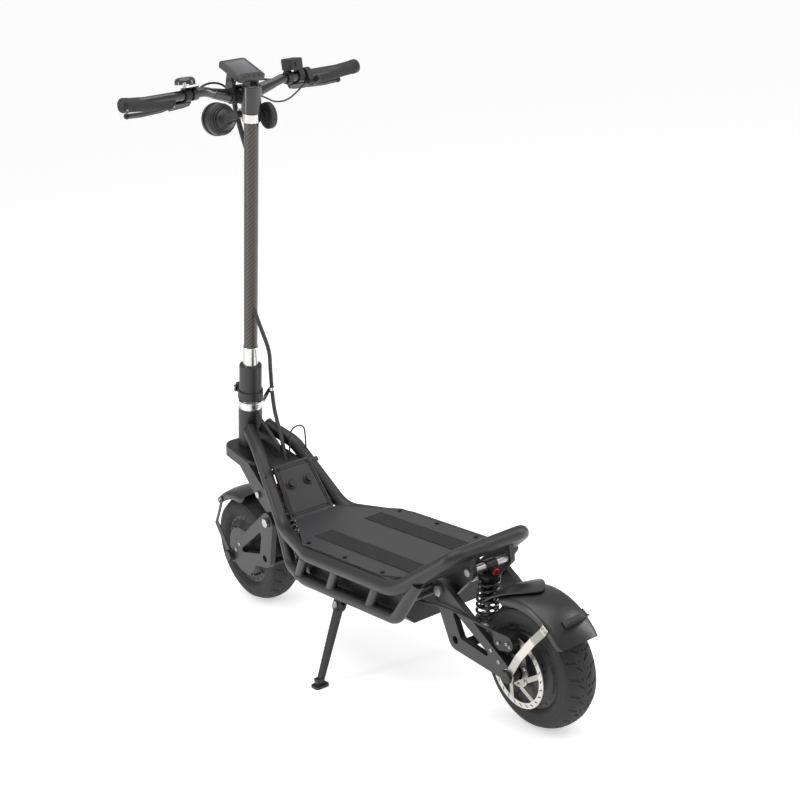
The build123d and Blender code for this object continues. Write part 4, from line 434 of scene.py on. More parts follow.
mixed = Finish("zinc and black fasteners", Metallic=0.9)
x, y, z = mixed.axes()
dark_ones = (y < 0.30) * (z > 0.25)
patch = mixed.noise(60, 3)
plated = mixed.blend(patch, (0.36, 0.35, 0.34), (0.60, 0.59, 0.57))
mixed.feed("Base Color", mixed.blend(dark_ones, plated, (0.022, 0.022, 0.023)))
mixed.feed("Roughness", 0.24 + 0.2 * patch)
mixed.bump(patch, 0.00005, mixed.edges(0.0006)[0])
mixed.cover("frame_fasteners")


def turned(bm, profile, place, steps=48):
    """Turns (radius, height) points, in mm, about place's Z. A radius may be a function of the angle."""
    rings = []
    for radius, height in profile:
        if radius == 0:
            rings.append([bm.verts.new((place @ Vector((0, 0, height))) / 1000)])
            continue
        ring = []
        for k in range(steps):
            a = 2 * math.pi * k / steps
            r = radius(a) if callable(radius) else radius
            ring.append(bm.verts.new((place @ Vector((r * math.cos(a), r * math.sin(a), height))) / 1000))
        rings.append(ring)
    for one, two in zip(rings, rings[1:]):
        for k in range(steps):
            quad = [one[k % len(one)], one[(k + 1) % len(one)], two[(k + 1) % len(two)], two[k % len(two)]]
            face = list(dict.fromkeys(quad))
            if len(face) > 2:
                bm.faces.new(face)


def hexagon(flat):
    """Radius of a hexagon of that half-width across flats, at each angle."""
    return lambda a: flat / math.cos((a % (math.pi / 3)) - math.pi / 6)


def button_screw(bm, at, axis, radius, height):
    """A domed screw head with a hex socket; at is under the middle of the head."""
    place = frame_at(at, axis)
    socket = hexagon(0.45 * radius)
    flank = [(0.98 * radius, 0), (radius, 0.25 * height)]
    dome = [(0.86 * radius, 0.72 * height), (0.62 * radius, height)]
    turned(bm, flank + dome + [(socket, height), (socket, 0.35 * height), (0, 0.3 * height)], place, 24)


def cap_screw(bm, at, axis, radius, height):
    """A knurled socket-head cap screw."""
    place = frame_at(at, axis)
    knurl = lambda a: radius * (1 + 0.02 * math.cos(24 * a))
    socket = hexagon(0.5 * radius)
    flank = [(knurl, 0), (knurl, 0.85 * height), (0.9 * radius, height)]
    turned(bm, flank + [(socket, height), (socket, 0.45 * height), (0, 0.4 * height)], place, 48)


# ---- Neck panel lips -----------------------------------------------------------------
# The sheet panel under the neck has two folded lips inside its border and a rolled lip
# round each charge port.
lips = bmesh.new()
panel = Matrix(((1, 0, 0, 0), (0, 0.4977, 0.867, -336), (0, -0.867, 0.4977, 412), (0, 0, 0, 1)))
border = [(-47, 6), (47, 6), (57, 131), (-57, 131)]
for inset in (0.0, 4.5):
    shrink = 1 - inset / 50
    loop = [(panel @ Vector((x * shrink, 68.5 + (y - 68.5) * shrink, 0.4))) / 1000 for x, y in border]
    dense = [a.lerp(b, k / 12) for a, b in zip(loop, loop[1:] + loop[:1]) for k in range(12)]
    loop_tube(lips, dense, 0.0011, 8)
for x in (-25, 25):
    ring_at = panel @ Matrix.Translation((x, 54, 0))
    turned(lips, [(11.2, -0.4), (13.2, -0.2), (13.8, 0.8), (13.4, 1.8), (11.2, 2.2)], ring_at, 48)
piece("neck_panel_lips", lips, "chassis", charcoal, 60)

# ---- Tyres ---------------------------------------------------------------------------
# Road tyres on split rims: natural rubber, a fine centre rib, curved slanting grooves
# and short sipes cut into the tread, moulded rings and ribs round the sidewalls.
rubber = Finish("tyre rubber")
wave = rubber.noise(45, 4)
fine = rubber.noise(700, 2)
dust = rubber.noise(8, 3).ramp(0.45, 0.8)
bloom = dust * 0.5 + wave * 0.3
rubber.feed("Base Color", rubber.blend(bloom, (0.0075, 0.0075, 0.008), (0.022, 0.021, 0.020)))
rubber.feed("Roughness", 0.62 + 0.16 * wave)
rubber.bump(fine + wave, 0.00025)

AXLES = (("front", -554.0, -1), ("rear", 554.0, 1))  # name, y and the way outwards
AXLE_Z = 141.0
TREAD_HALF = 36
GROOVES = (  # start and end across the tread, place in the pitch, slant, half-width
    (0.12, 0.50, 0.10, 0.95, 0.075),
    (0.42, 0.93, 0.62, 0.55, 0.085),
    (0.16, 0.30, 0.60, 0.90, 0.060),
)


def tyre_groove(u, turn):
    """Depth of the tread cut at u, from -1 to 1 across the tread, and turn, in pitches."""
    depth = 0.0
    if abs(u) < 0.022:
        depth = 0.5
    side = 1 if u > 0 else -1
    w = abs(u)
    phase = (turn + (0.5 if side > 0 else 0)) % 1.0
    for start, reach, middle, lean, width in GROOVES:
        if start < w < reach:
            centre_line = middle + lean * (w - start) - 0.35 * (w - start) ** 2
            off = abs((phase - centre_line + 0.5) % 1.0 - 0.5)
            taper = min(1.0, (w - start) / 0.05, (reach - w) / 0.05)
            if off < width:
                depth = max(depth, 2.3 * taper * min(1.0, (width - off) / (0.35 * width)))
    return depth


def tyre_mesh(axle_y):
    """The tyre's outside, from bead to bead, with its tread cut in."""
    bm = bmesh.new()
    half = []
    for i in range(47):
        x = TREAD_HALF * i / 46
        half.append((x, 140.6 - 0.0062 * x * x - 2.2e-6 * x ** 4))
    half += [(39.0, 128.0), (41.6, 123.5), (43.3, 118.0), (43.6, 113.5), (43.2, 112.6), (43.7, 111.8)]
    half += [(43.5, 107.0), (42.6, 101.5), (41.0, 97.5), (39.6, 96.6), (39.2, 95.6), (37.0, 92.6)]
    half += [(35.4, 91.4), (34.2, 90.0), (30.2, 88.0)]
    outline = [(-x, r) for x, r in reversed(half[1:])] + half
    steps, pitches = 552, 23
    rings = []
    for k in range(steps):
        a = 2 * math.pi * k / steps
        ring = []
        for x, r in outline:
            if abs(x) <= TREAD_HALF + 0.01:
                r -= tyre_groove(x / TREAD_HALF, pitches * k / steps)
            elif 99 < r < 106 and (k // 3) % 2:
                x += math.copysign(0.35, x)
            ring.append(bm.verts.new(vec(x, axle_y + r * math.cos(a), AXLE_Z + r * math.sin(a))))
        rings.append(ring)
    for one, two in zip(rings, rings[1:] + rings[:1]):
        for j in range(len(outline) - 1):
            bm.faces.new((one[j], one[j + 1], two[j + 1], two[j]))
    return bm


for name, axle_y, way in AXLES:
    made = piece(name + "_tyre_tread", tyre_mesh(axle_y), name + "_wheel", rubber, 28)
    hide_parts(name + "_tyre")

# ---- Hubs, brake discs and valves ----------------------------------------------------
# Hub motors with machined covers, painted satin black; their rims carry the tyre. The
# discs are laser-cut stainless, brushed round the axle, on six button screws.
hub_black = Finish("hub enamel")
rounded, edge = hub_black.edges(0.0012)
haze = hub_black.noise(30, 4)
# Random lighter patches, and a painted highlight along the edges
tone_and_edge_highlight = (edge * 0.5 + haze * 0.3).least(1.0)
hub_black.feed("Base Color", hub_black.blend(tone_and_edge_highlight, (0.010, 0.010, 0.011), (0.045, 0.044, 0.044)))
hub_black.feed("Roughness", 0.30 + 0.16 * haze)
hub_black.bump(hub_black.noise(900, 1), 0.00005, rounded)
hub_black.cover("front_hub", "rear_hub")

RIM_RIB = ((36.2, 80.5), (35, 84), (33.6, 87))  # across and out from the axle, in mm

for name, axle_y, way in AXLES:
    disc = Finish(name + " disc steel", Metallic=1.0)
    x, y, z = disc.axes((0, axle_y / 1000, AXLE_Z / 1000))
    radius = (y * y + z * z) ** 0.5
    band = (radius > 0.0668) * (radius < 0.081)
    one_way = {"noise_dimensions": "1D"}
    lines = disc.node("TexNoise", one_way, {"W": radius * 9000, "Scale": 1.0, "Detail": 3.0})
    arc = disc.node("TexNoise", one_way, {"W": y.angle_to(z) * 40, "Scale": 1.0, "Detail": 2.0})
    polish = band * (0.4 + 0.6 * lines)
    disc.feed("Base Color", disc.blend(polish, (0.40, 0.385, 0.355), (0.66, 0.64, 0.60)))
    disc.feed("Roughness", 0.30 - 0.08 * band + 0.20 * lines + 0.05 * arc)
    disc.bump(lines, 0.00004, disc.edges(0.0004)[0])
    disc.cover(name + "_disc")

    def round_axle(x, radius, a):
        """A point at x, that far from the axle, at angle a."""
        return Vector((x, axle_y + radius * math.cos(a), AXLE_Z + radius * math.sin(a)))

    bolts = bmesh.new()
    for k in range(6):
        button_screw(bolts, round_axle(way * 63.2, 27, math.radians(60 * k + 30)), (way, 0, 0), 4.2, 2.6)
    piece(name + "_disc_screws", bolts, name + "_wheel", zinc)

    covers = bmesh.new()
    for face in (-1, 1):
        for k in range(8):
            cap_screw(covers, round_axle(face * 47, 66, math.radians(45 * k + 22.5)), (face, 0, 0), 2.9, 3.0)
        for k in range(24):
            a = 2 * math.pi * (k + 0.5) / 24
            rib = [round_axle(face * x, r, a) / 1000 for x, r in RIM_RIB]
            loop_tube(covers, rib, 0.0012, 6, False)
    piece(name + "_cover_screws", covers, name + "_wheel", blackened)

    valve = bmesh.new()
    root = frame_at((-way * 34, axle_y + 63, 93), (-way, 0, 0))
    cap = [(3.0, 20.5), (3.0, 28), (2.2, 29.4), (0, 29.6)]
    turned(valve, [(3.4, 0), (3.4, 8), (2.6, 9), (2.6, 20)] + cap, root, 20)
    piece(name + "_valve_stem", valve, name + "_wheel", zinc)

# ---- Swingarms, fork and steering castings -------------------------------------------
# Forged and machined alloy arms, crown and pivots, in the frame's charcoal coat with a
# slightly glossier skin; the levers, calipers and clamps are black anodised.
arm_coat = powder_coat("charcoal castings", (0.0115, 0.0112, 0.0125), 0.34)
arm_coat.cover("front_swingarm", "rear_swingarm", "front_fork")

anodised = Finish("black anodised alloy", Metallic=0.35)
rounded, edge = anodised.edges(0.0007)
cloud = anodised.noise(35, 3)
# Random lighter cloud, and a painted highlight along the edges
tone_and_edge_highlight = (edge * 0.6 + cloud * 0.25).least(1.0)
anodised.feed("Base Color", anodised.blend(tone_and_edge_highlight, (0.011, 0.011, 0.0118), (0.062, 0.060, 0.060)))
anodised.feed("Roughness", 0.27 + 0.16 * cloud)
anodised.bump(anodised.noise(1100, 1), 0.00004, rounded)
anodised.cover("front_caliper", "rear_caliper", "front_shock_body", "rear_shock_body")
anodised.cover("brake_masters", "brake_lever_left", "brake_lever_right", "headlight")

# ---- Fenders and their stays ---------------------------------------------------------
# Moulded plastic shells over the tyres, satin-gloss with a rolled rim, held at each side
# by a bent strip from the axle and two screws: stainless behind, black in front.
shell_plastic = Finish("fender plastic", Coat_Weight=0.12, Coat_Roughness=0.25)
smear = shell_plastic.noise(9, 4)
flow = shell_plastic.noise(120, 3)
shell_plastic.feed("Base Color", shell_plastic.blend(smear, (0.006, 0.006, 0.0065), (0.014, 0.014, 0.0145)))
shell_plastic.feed("Roughness", 0.24 + 0.15 * smear + 0.04 * flow)
shell_plastic.bump(flow, 0.00012)

stainless = Finish("brushed stainless strip", Metallic=1.0)
stretched = stainless.node("Mapping", {}, {"Vector": stainless.at, "Scale": (2500.0, 160.0, 160.0)})
brushed = stainless.noise(1.0, 3, 0.7, stretched)
stainless.feed("Base Color", stainless.blend(brushed, (0.33, 0.315, 0.29), (0.58, 0.555, 0.515)))
stainless.feed("Roughness", 0.28 + 0.22 * brushed)
stainless.bump(brushed, 0.00004, stainless.edges(0.0005)[0])

# First and last degree of the shell, reach of the stay's first bend and its slant
FENDERS = {"rear": (31, 112, 65.0, 52.2), "front": (50, 105, 94.0, 61.0)}
# Half of the shell's outer section, from the rolled rim to the crown
CROWN_R, RIM_R = 162.8, 137.6
SHELL_RIM = [(52.0, RIM_R), (53.2, 139.0), (53.0, 144.0), (52.4, 149.5), (50.6, 153.2)]
SHELL_TOP = [(47.2, 156.4), (41.0, 158.6), (30.0, 160.6), (16.0, 162.2), (0.0, CROWN_R)]


def fender_shell(axle_y, way, first, last):
    """A shell with thickness, a rolled rim and rounded ends."""
    bm = bmesh.new()
    half = SHELL_RIM + SHELL_TOP
    outer = [(-x, r) for x, r in half] + half[::-1][1:]
    steps = 60
    span = last - first
    skins = []
    for inset in (0.0, 2.6):
        rows = []
        for i in range(steps + 1):
            a = math.radians(first + span * i / steps)
            into_end = min(i, steps - i) * span / steps
            shrink = math.sqrt(max(0.0, 1 - (1 - min(1.0, into_end / 9.0)) ** 2))
            row = []
            for x, r in outer:
                low = (CROWN_R - r) / (CROWN_R - RIM_R)
                keep_r = min(r + (1 - shrink) * low * 14, CROWN_R)
                narrow = 1.0 - 0.10 * (1 - shrink)
                length = (x * x + (keep_r - 120) ** 2) ** 0.5
                nx, nr = x / length, (keep_r - 120) / length
                here = keep_r - nr * inset
                y, z = axle_y + way * here * math.cos(a), AXLE_Z + here * math.sin(a)
                row.append(bm.verts.new(vec(x * narrow - nx * inset, y, z)))
            rows.append(row)
        skins.append(rows)
    for rows in skins:
        for one, two in zip(rows, rows[1:]):
            for j in range(len(outer) - 1):
                bm.faces.new((one[j], one[j + 1], two[j + 1], two[j]))
    out, inn = skins
    for i in range(steps):
        for j in (0, len(outer) - 1):
            bm.faces.new((out[i][j], out[i + 1][j], inn[i + 1][j], inn[i][j]))
    for i in (0, steps):
        for j in range(len(outer) - 1):
            bm.faces.new((out[i][j], out[i][j + 1], inn[i][j + 1], inn[i][j]))
    return bm


for name, axle_y, way in AXLES:
    first, last, knee, lean = FENDERS[name]
    curved = fender_shell(axle_y, way, first, last)
    shell = piece(name + "_fender_shell", curved, name + "_arm", shell_plastic, 50)
    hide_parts(name + "_fender")
    lift = math.radians(lean)
    up_stay = Vector((0, way * math.cos(lift), math.sin(lift)))
    across_stay = Vector((0, -way * math.sin(lift), math.cos(lift)))
    axle = Vector((0, axle_y, AXLE_Z))
    strip = bmesh.new()
    screws = bmesh.new()
    for side in (-1, 1):
        route = [(88.2, 2.0), (88.2, knee), (72.2, 114.6), (54.6, 139.0), (54.6, 153.0)]
        bends = []
        for i, (x, d) in enumerate(route):
            if i in (0, len(route) - 1):
                bends.append((x, d))
                continue
            for t in (-1, -0.35, 0.35, 1):
                to = route[i + (1 if t > 0 else -1)]
                reach = math.hypot(to[0] - x, to[1] - d)
                pull = 2.6 * abs(t) / reach
                bends.append((x + (to[0] - x) * pull, d + (to[1] - d) * pull))
        rows = []
        for i, (x, d) in enumerate(bends):
            before, after = bends[max(i - 1, 0)], bends[min(i + 1, len(bends) - 1)]
            tx, td = after[0] - before[0], after[1] - before[1]
            size = math.hypot(tx, td)
            nx, nd = td / size, -tx / size
            row = []
            for thick, wide in ((-1, -9), (-1, 9), (1, 9), (1, -9)):
                px, pd = x + nx * thick, d + nd * thick
                spot = axle + Vector((side * px, 0, 0)) + up_stay * pd + across_stay * wide
                row.append(strip.verts.new(spot / 1000))
            rows.append(row)
        for one, two in zip(rows, rows[1:]):
            for k in range(4):
                strip.faces.new((one[k], one[(k + 1) % 4], two[(k + 1) % 4], two[k]))
        strip.faces.new(rows[0])
        strip.faces.new(rows[-1])
        washer = frame_at(axle + Vector((side * 87.2, 0, 0)), (side, 0, 0))
        turned(strip, [(9.0, -1), (15.4, -1), (16, -0.4), (16, 0.6), (15.4, 1.1), (9.0, 1.1)], washer, 48)
        for wide in (-4.8, 4.8):
            spot = axle + Vector((side * 55.6, 0, 0)) + up_stay * 146.2 + across_stay * wide
            button_screw(screws, spot, (side, 0, 0), 3.2, 2.0)
    stay_finish = stainless if name == "rear" else anodised
    piece(name + "_fender_stays", strip, name + "_arm", stay_finish, 40)
    piece(name + "_stay_screws", screws, name + "_arm", zinc)

# ---- Caliper and swingarm screws -----------------------------------------------------
# Socket-head screws hold the caliper and its bracket to each arm, and two domed screws
# close each end of the arm.
for name, axle_y, way in AXLES:
    bits = bmesh.new()
    for degrees, radius, out in ((90, 70, 82.2), (113, 70, 82.2), (101, 84, 78.2), (84, 64, 80.2)):
        a = math.radians(degrees if way > 0 else 180 - degrees)
        spot = (way * out, axle_y + radius * math.cos(a), AXLE_Z + radius * math.sin(a))
        cap_screw(bits, spot, (way, 0, 0), 3.4, 3.2)
    piece(name + "_caliper_screws", bits, name + "_arm", zinc)
    arms = bmesh.new()
    for side in (-1, 1):
        for back, high in ((52, 42), (30, 22)):
            button_screw(arms, (side * 86.1, axle_y - way * back, AXLE_Z + high), (side, 0, 0), 4.6, 2.2)
    piece(name + "_arm_screws", arms, name + "_arm", zinc)

# ---- Rear splash guard ---------------------------------------------------------------
# A second thin shell of the fender's plastic lies over its front half: a point at the top
# that spreads to full width towards the deck, with flared lower corners.
guard = bmesh.new()
guard_skins = []
rear_axle_y = AXLES[1][1]
for radius in (166.0, 168.4):
    rows = []
    for i in range(41):
        share = i / 40
        half_width = 61 * math.sin(0.5 * math.pi * min(1.0, share / 0.72)) ** 0.62 if i else 0.8
        a = math.radians(81 + 51 * share)
        row = []
        for j in range(25):
            u = j / 12 - 1
            droop = 9.0 * u * u * (half_width / 61) ** 2
            flare = 3.0 * share * u ** 4
            r = radius - droop + flare + 1.5 * math.sin(math.pi * share)
            spot = (u * half_width, rear_axle_y + r * math.cos(a), AXLE_Z + r * math.sin(a))
            row.append(guard.verts.new(vec(*spot)))
        rows.append(row)
    guard_skins.append(rows)
    for one, two in zip(rows, rows[1:]):
        for j in range(24):
            guard.faces.new((one[j], one[j + 1], two[j + 1], two[j]))
under, over = guard_skins
for i in range(40):
    for j in (0, 24):
        guard.faces.new((under[i][j], under[i + 1][j], over[i + 1][j], over[i][j]))
for i in (0, 40):
    for j in range(24):
        guard.faces.new((under[i][j], under[i][j + 1], over[i][j + 1], over[i][j]))
piece("rear_splash_guard", guard, "rear_arm", shell_plastic, 50)

# ---- Textured plastic ----------------------------------------------------------------
# The tail bracket, battery box, horn, sockets and bar controls are injection-moulded,
# with a fine leather grain.
textured = Finish("textured black plastic")
leather = textured.noise(420, 2)
tone = textured.noise(25, 3)
rounded, edge = textured.edges(0.0007)
# Random lighter tone, and a painted highlight along the edges
tone_and_edge_highlight = (tone * 0.5 + edge * 0.4).least(1.0)
textured.feed("Base Color", textured.blend(tone_and_edge_highlight, (0.008, 0.008, 0.0085), (0.022, 0.0215, 0.0215)))
textured.feed("Roughness", 0.46 + 0.14 * leather)
textured.bump(leather, 0.00012, rounded)
textured.cover("tail_bracket", "battery_and_controllers", "horn", "charge_ports")
textured.cover("throttle_paddle", "switch_button", "right_controls")

# ---- Shocks --------------------------------------------------------------------------
# Air-and-coil dampers: machined black bodies, a gloss black spring between two perches,
# and a knurled red adjuster knob on a short pillar.
spring_black = Finish("spring enamel", Coat_Weight=0.6, Coat_Roughness=0.06)
drip = spring_black.noise(60, 3)
spring_black.feed("Base Color", spring_black.blend(drip, (0.006, 0.006, 0.0065), (0.013, 0.013, 0.0135)))
spring_black.feed("Roughness", 0.20 + 0.12 * drip)
spring_black.bump(drip, 0.0001)

red = Finish("red anodised knob", Metallic=0.75)
rounded, edge = red.edges(0.0004)
red_cloud = red.noise(200, 2)
# Random lighter cloud, and a painted highlight along the edges
tone_and_edge_highlight = (edge * 0.5 + red_cloud * 0.3).least(1.0)
red.feed("Base Color", red.blend(tone_and_edge_highlight, (0.44, 0.009, 0.010), (0.74, 0.06, 0.05)))
red.feed("Roughness", 0.26 + 0.14 * red_cloud)
red.bump(red_cloud, 0.00004, rounded)

COIL_R = 22.6
COIL_START, COIL_RUN = 28.8, 101.4
for name, axle_y, way in AXLES:
    low_eye = Vector((0, axle_y - way * 172, 172))
    top_eye = Vector((0, axle_y - way * 137, 326))
    axis = (top_eye - low_eye).normalized()
    shock = frame_at(low_eye, axis, (1, 0, 0))
    coil = bmesh.new()
    points = []
    turns, per_turn = 7, 40
    for k in range(turns * per_turn + 1):
        a = 2 * math.pi * k / per_turn
        share = k / (turns * per_turn)
        flat = share + 0.035 * math.sin(2 * math.pi * share) / math.pi
        turn_at = Vector((COIL_R * math.cos(a), COIL_R * math.sin(a), COIL_START + COIL_RUN * flat))
        points.append((shock @ turn_at) / 1000)
    loop_tube(coil, points, 0.0033, 12, False)
    spring = piece(name + "_shock_spring", coil, None, spring_black, 60)
    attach(spring, name + "_damper")
    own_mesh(spring)
    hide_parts(name + "_spring")

    knob = bmesh.new()
    face = shock.to_3x3() @ Vector((0, 1, 0))
    knob_at = low_eye + axis * 149 + face * 17
    flutes = lambda a: 8.4 * (1 + 0.05 * math.cos(16 * a))
    rim_to_cup = [(flutes, 5.6), (7.6, 6.8), (4.4, 7.2), (4.0, 6.4), (0, 6.4)]
    turned(knob, [(7.0, 0), (flutes, 0.8)] + rim_to_cup, frame_at(knob_at, face), 96)
    piece(name + "_adjuster", knob, name + "_damper", red, 30)

    rings = bmesh.new()
    for height, big in ((137.6, 26.4), (140.4, 24.4)):
        notch = lambda a, big=big: big * (1 - 0.05 * (math.cos(8 * a) > 0.7))
        low, high = height - 1.4, height + 1.0
        turned(rings, [(17, low), (notch, low), (notch, high), (17, high)], shock, 96)
    for height in (146.5, 143.5):
        lip = [(9.9, -0.9), (11.6, -0.6), (11.6, 0.6), (9.9, 0.9)]
        turned(rings, [(radius, height + z) for radius, z in lip], shock, 48)
    piece(name + "_preload_ring", rings, name + "_damper", anodised, 30)

# ---- Headset ring, folding joint and stem collars ------------------------------------
# The ring over the headset, the adapter above the lock sleeve and the clamp under the
# handlebar are turned aluminium, polished.
polished = Finish("polished aluminium", Metallic=1.0)
x, y, z = polished.axes((0, -0.637, 0), -14.82)
rings = polished.node("TexNoise", {"noise_dimensions": "1D"}, {"W": z * 2600, "Scale": 1.0, "Detail": 2.0})
smudge = polished.noise(70, 4)
polished.feed("Base Color", polished.blend(smudge, (0.50, 0.49, 0.475), (0.74, 0.73, 0.715)))
polished.feed("Roughness", 0.13 + 0.12 * smudge + 0.08 * rings)
polished.bump(rings, 0.00003, polished.edges(0.0006)[0])
polished.cover("stem_collars", "headset", "steering_column")

steer_back = Vector((0, 0.9667, -0.2558))

lips = bmesh.new()
for height in (549.5, 562.5):
    lip = [(29.4, -1.2), (30.0, -0.6), (30.0, 0.6), (29.4, 1.2)]
    turned(lips, lip, frame_at(on_steer(0, 0, height), steer_axis), 96)
piece("headset_ring_lips", lips, "steerer", polished)

socket_screws = bmesh.new()
for along in (578, 588):
    cap_screw(socket_screws, on_steer(13.2, -44, along), (1, 0, 0), 3.6, 4.5)
cap_screw(socket_screws, on_steer(0, -20.5, 1300), -steer_back, 3.4, 4.0)
piece("collar_screws", socket_screws, "stem", zinc)

# ---- Woven stem tube -----------------------------------------------------------------
# A fibre tube under clear resin: a two-by-two twill of brownish yarns that climbs round
# the tube in slanting bands, with a slight wave in the lacquer.
woven = Finish("woven fibre tube", Coat_Weight=0.35, Coat_Roughness=0.12)
x, y, z = woven.axes((0, -0.637, 0), -14.82)
YARN = 0.0027
round_it = x.angle_to(y) * (0.017 / YARN)
climb = z / YARN
col, row = round_it.whole(), climb.whole()
over = ((col + row) * 0.25).fraction() > 0.49
across_yarn = (round_it.fraction() - 0.5) * 2
along_yarn = (climb.fraction() - 0.5) * 2
crown = over * (1 - across_yarn * across_yarn) + (1 - over) * (1 - along_yarn * along_yarn)
strand = woven.noise(900, 2)
sheen = (over * 0.62 + crown * 0.25 + strand * 0.13).least(1.0)
woven.feed("Base Color", woven.blend(sheen, (0.0075, 0.0065, 0.006), (0.060, 0.049, 0.041)))
woven.feed("Roughness", 0.34 + 0.16 * (1 - over) + 0.08 * strand)
woven.bump(crown + 0.3 * strand, 0.00012)
woven.cover("stem_tube")

# ---- Stem head and handlebar ---------------------------------------------------------
# A black anodised clamp block and a butted alloy bar with a shallow rise and back sweep,
# painted gloss black.
bar_gloss = Finish("gloss black bar", Coat_Weight=0.5, Coat_Roughness=0.08)
rounded, edge = bar_gloss.edges(0.0012)
peel = bar_gloss.noise(90, 2)
# Random lighter patches, and a painted highlight along the edges
tone_and_edge_highlight = (peel * 0.6 + edge * 0.4).least(1.0)
bar_gloss.feed("Base Color", bar_gloss.blend(tone_and_edge_highlight, (0.0065, 0.0065, 0.007), (0.020, 0.0195, 0.0195)))
bar_gloss.feed("Roughness", 0.20 + 0.14 * peel)
bar_gloss.bump(peel, 0.0001, rounded)
bar_gloss.cover("handlebar", "stem_head", "bell")

# ---- Grips ---------------------------------------------------------------------------
# Soft rubber sleeves moulded with slanting rows of small ribs and a plain band at each
# end, held between two black alloy lock rings with one screw each, and a plug at the tip.
grip_rubber = Finish("grip rubber")
sweat = grip_rubber.noise(40, 3)
grip_rubber.feed("Base Color", grip_rubber.blend(sweat, (0.011, 0.0108, 0.011), (0.030, 0.029, 0.0285)))
grip_rubber.feed("Roughness", 0.60 + 0.18 * sweat)
grip_rubber.bump(grip_rubber.noise(1300, 1), 0.0001)

for side, name in ((1, "left"), (-1, "right")):
    tip = Vector((side * 318, -318, 1330))
    out = (tip - Vector((side * 105, -329, 1311))).normalized()
    place_grip = lambda x: tip + out * ((abs(x) - 318) / abs(out.x))
    start = place_grip(196)
    length = (place_grip(308) - start).length
    base = frame_at(start, out, (0, 0, 1))
    sleeve = bmesh.new()
    rows = 150
    profile = []
    for i in range(rows + 1):
        s = i / rows * length
        edge_band = min(s, length - s)
        def radius(a, s=s, edge_band=edge_band):
            if edge_band < 5:
                return 16.9 if edge_band > 0.6 else 16.3
            slant = math.sin((s * 1.25) + 3 * a)
            rib = math.sin(a * 22 - s * 0.16)
            return 15.2 + 1.3 * max(0.0, slant) ** 0.5 * (0.5 + 0.5 * max(0.0, rib) ** 0.5)
        profile.append((radius, s))
    turned(sleeve, [(13.5, 0)] + profile + [(13.5, length)], base, 132)
    sleeve_piece = piece(name + "_grip_sleeve", sleeve, "stem", grip_rubber, 45)
    rings = bmesh.new()
    ring_screws = bmesh.new()
    for spot in (place_grip(192), place_grip(312)):
        here = frame_at(spot, out, (0, 0, 1))
        half_ring = [(16.9, 3.2), (16.2, 3.9), (12.0, 3.9)]
        turned(rings, [(radius, -z) for radius, z in half_ring[::-1]] + half_ring, here, 72)
        under = Vector((-0.57, -0.82, 0))
        cap_screw(ring_screws, here @ Vector((-9.5, -13.6, 0)), here.to_3x3() @ under, 2.4, 2.4)
    cap_at = frame_at(place_grip(316), out)
    plug = [(15.4, 2.4), (14.2, 4.0), (8.0, 4.2), (7.2, 3.6), (0, 3.6)]
    turned(rings, [(11.4, -1), (14.6, -1), (15.4, 0)] + plug, cap_at, 72)
    piece(name + "_grip_rings", rings, "stem", anodised, 35)
    piece(name + "_grip_ring_screws", ring_screws, "stem", zinc)
    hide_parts("grips")

# ---- Display -------------------------------------------------------------------------
# A flat instrument: moulded black case, a cover glass set in its face, a dark grey screen
# under it and four small keys in a row below.
case = Finish("display case", Coat_Weight=0.3, Coat_Roughness=0.15)
rounded, edge = case.edges(0.0014)
case_cloud = case.noise(60, 3)
# Random lighter cloud, and a painted highlight along the edges
tone_and_edge_highlight = (case_cloud * 0.4 + edge * 0.6).least(1.0)
case.feed("Base Color", case.blend(tone_and_edge_highlight, (0.007, 0.007, 0.0075), (0.026, 0.0255, 0.026)))
case.feed("Roughness", 0.26 + 0.12 * case_cloud)
case.bump(case_cloud, 0.00006, rounded)
case.cover("display")

glass = Finish("display glass", Coat_Weight=0.8, Coat_Roughness=0.03)
x, y, z = glass.axes((0, -0.3165, 1.369), 0)
inside = (abs(x) < 0.0262) * (abs(y + 0.0025) < 0.0285)
film = glass.noise(18, 3)
screen_grey = glass.blend(film, (0.050, 0.052, 0.060), (0.080, 0.083, 0.094))
glass.feed("Base Color", glass.blend(inside, (0.008, 0.008, 0.009), screen_grey))
glass.feed("Roughness", 0.10 + 0.08 * film)
glass.bump(film, 0.00002)

face_up = Vector((0, 0.4175, 0.9087))
face = frame_at((0, -316.5, 1369), face_up, (1, 0, 0))


def plate(bm, place, width, height, low, high, corner, steps=8):
    """A slab with rounded corners and a softened top edge, in place's XY."""
    def ring(inset, z):
        made = []
        for cx, cy, first in ((1, 1, 0), (-1, 1, 90), (-1, -1, 180), (1, -1, 270)):
            for k in range(steps + 1):
                a = math.radians(first + 90 * k / steps)
                r = max(corner - inset, 0.05)
                x = cx * (width / 2 - corner) + r * math.cos(a)
                y = cy * (height / 2 - corner) + r * math.sin(a)
                made.append(bm.verts.new((place @ Vector((x, y, z))) / 1000))
        return made
    soft = min(0.9, (high - low) * 0.45)
    loops = [ring(0, low), ring(0, high - soft), ring(soft * 0.3, high - soft * 0.3), ring(soft, high)]
    for one, two in zip(loops, loops[1:]):
        for k in range(len(one)):
            bm.faces.new((one[k], one[(k + 1) % len(one)], two[(k + 1) % len(one)], two[k]))
    bm.faces.new(loops[0])
    bm.faces.new(loops[-1])


screen = bmesh.new()
plate(screen, face @ Matrix.Translation((0, -3, 0)), 59.4, 73.4, -0.9, 0.25, 3)
piece("display_glass", screen, "stem", glass, 40)
keys = bmesh.new()
for k in range(4):
    plate(keys, face @ Matrix.Translation((-19.5 + 13 * k, 41, 0)), 8.4, 4.6, -0.4, 1.1, 2)
piece("display_keys", keys, "stem", textured, 40)

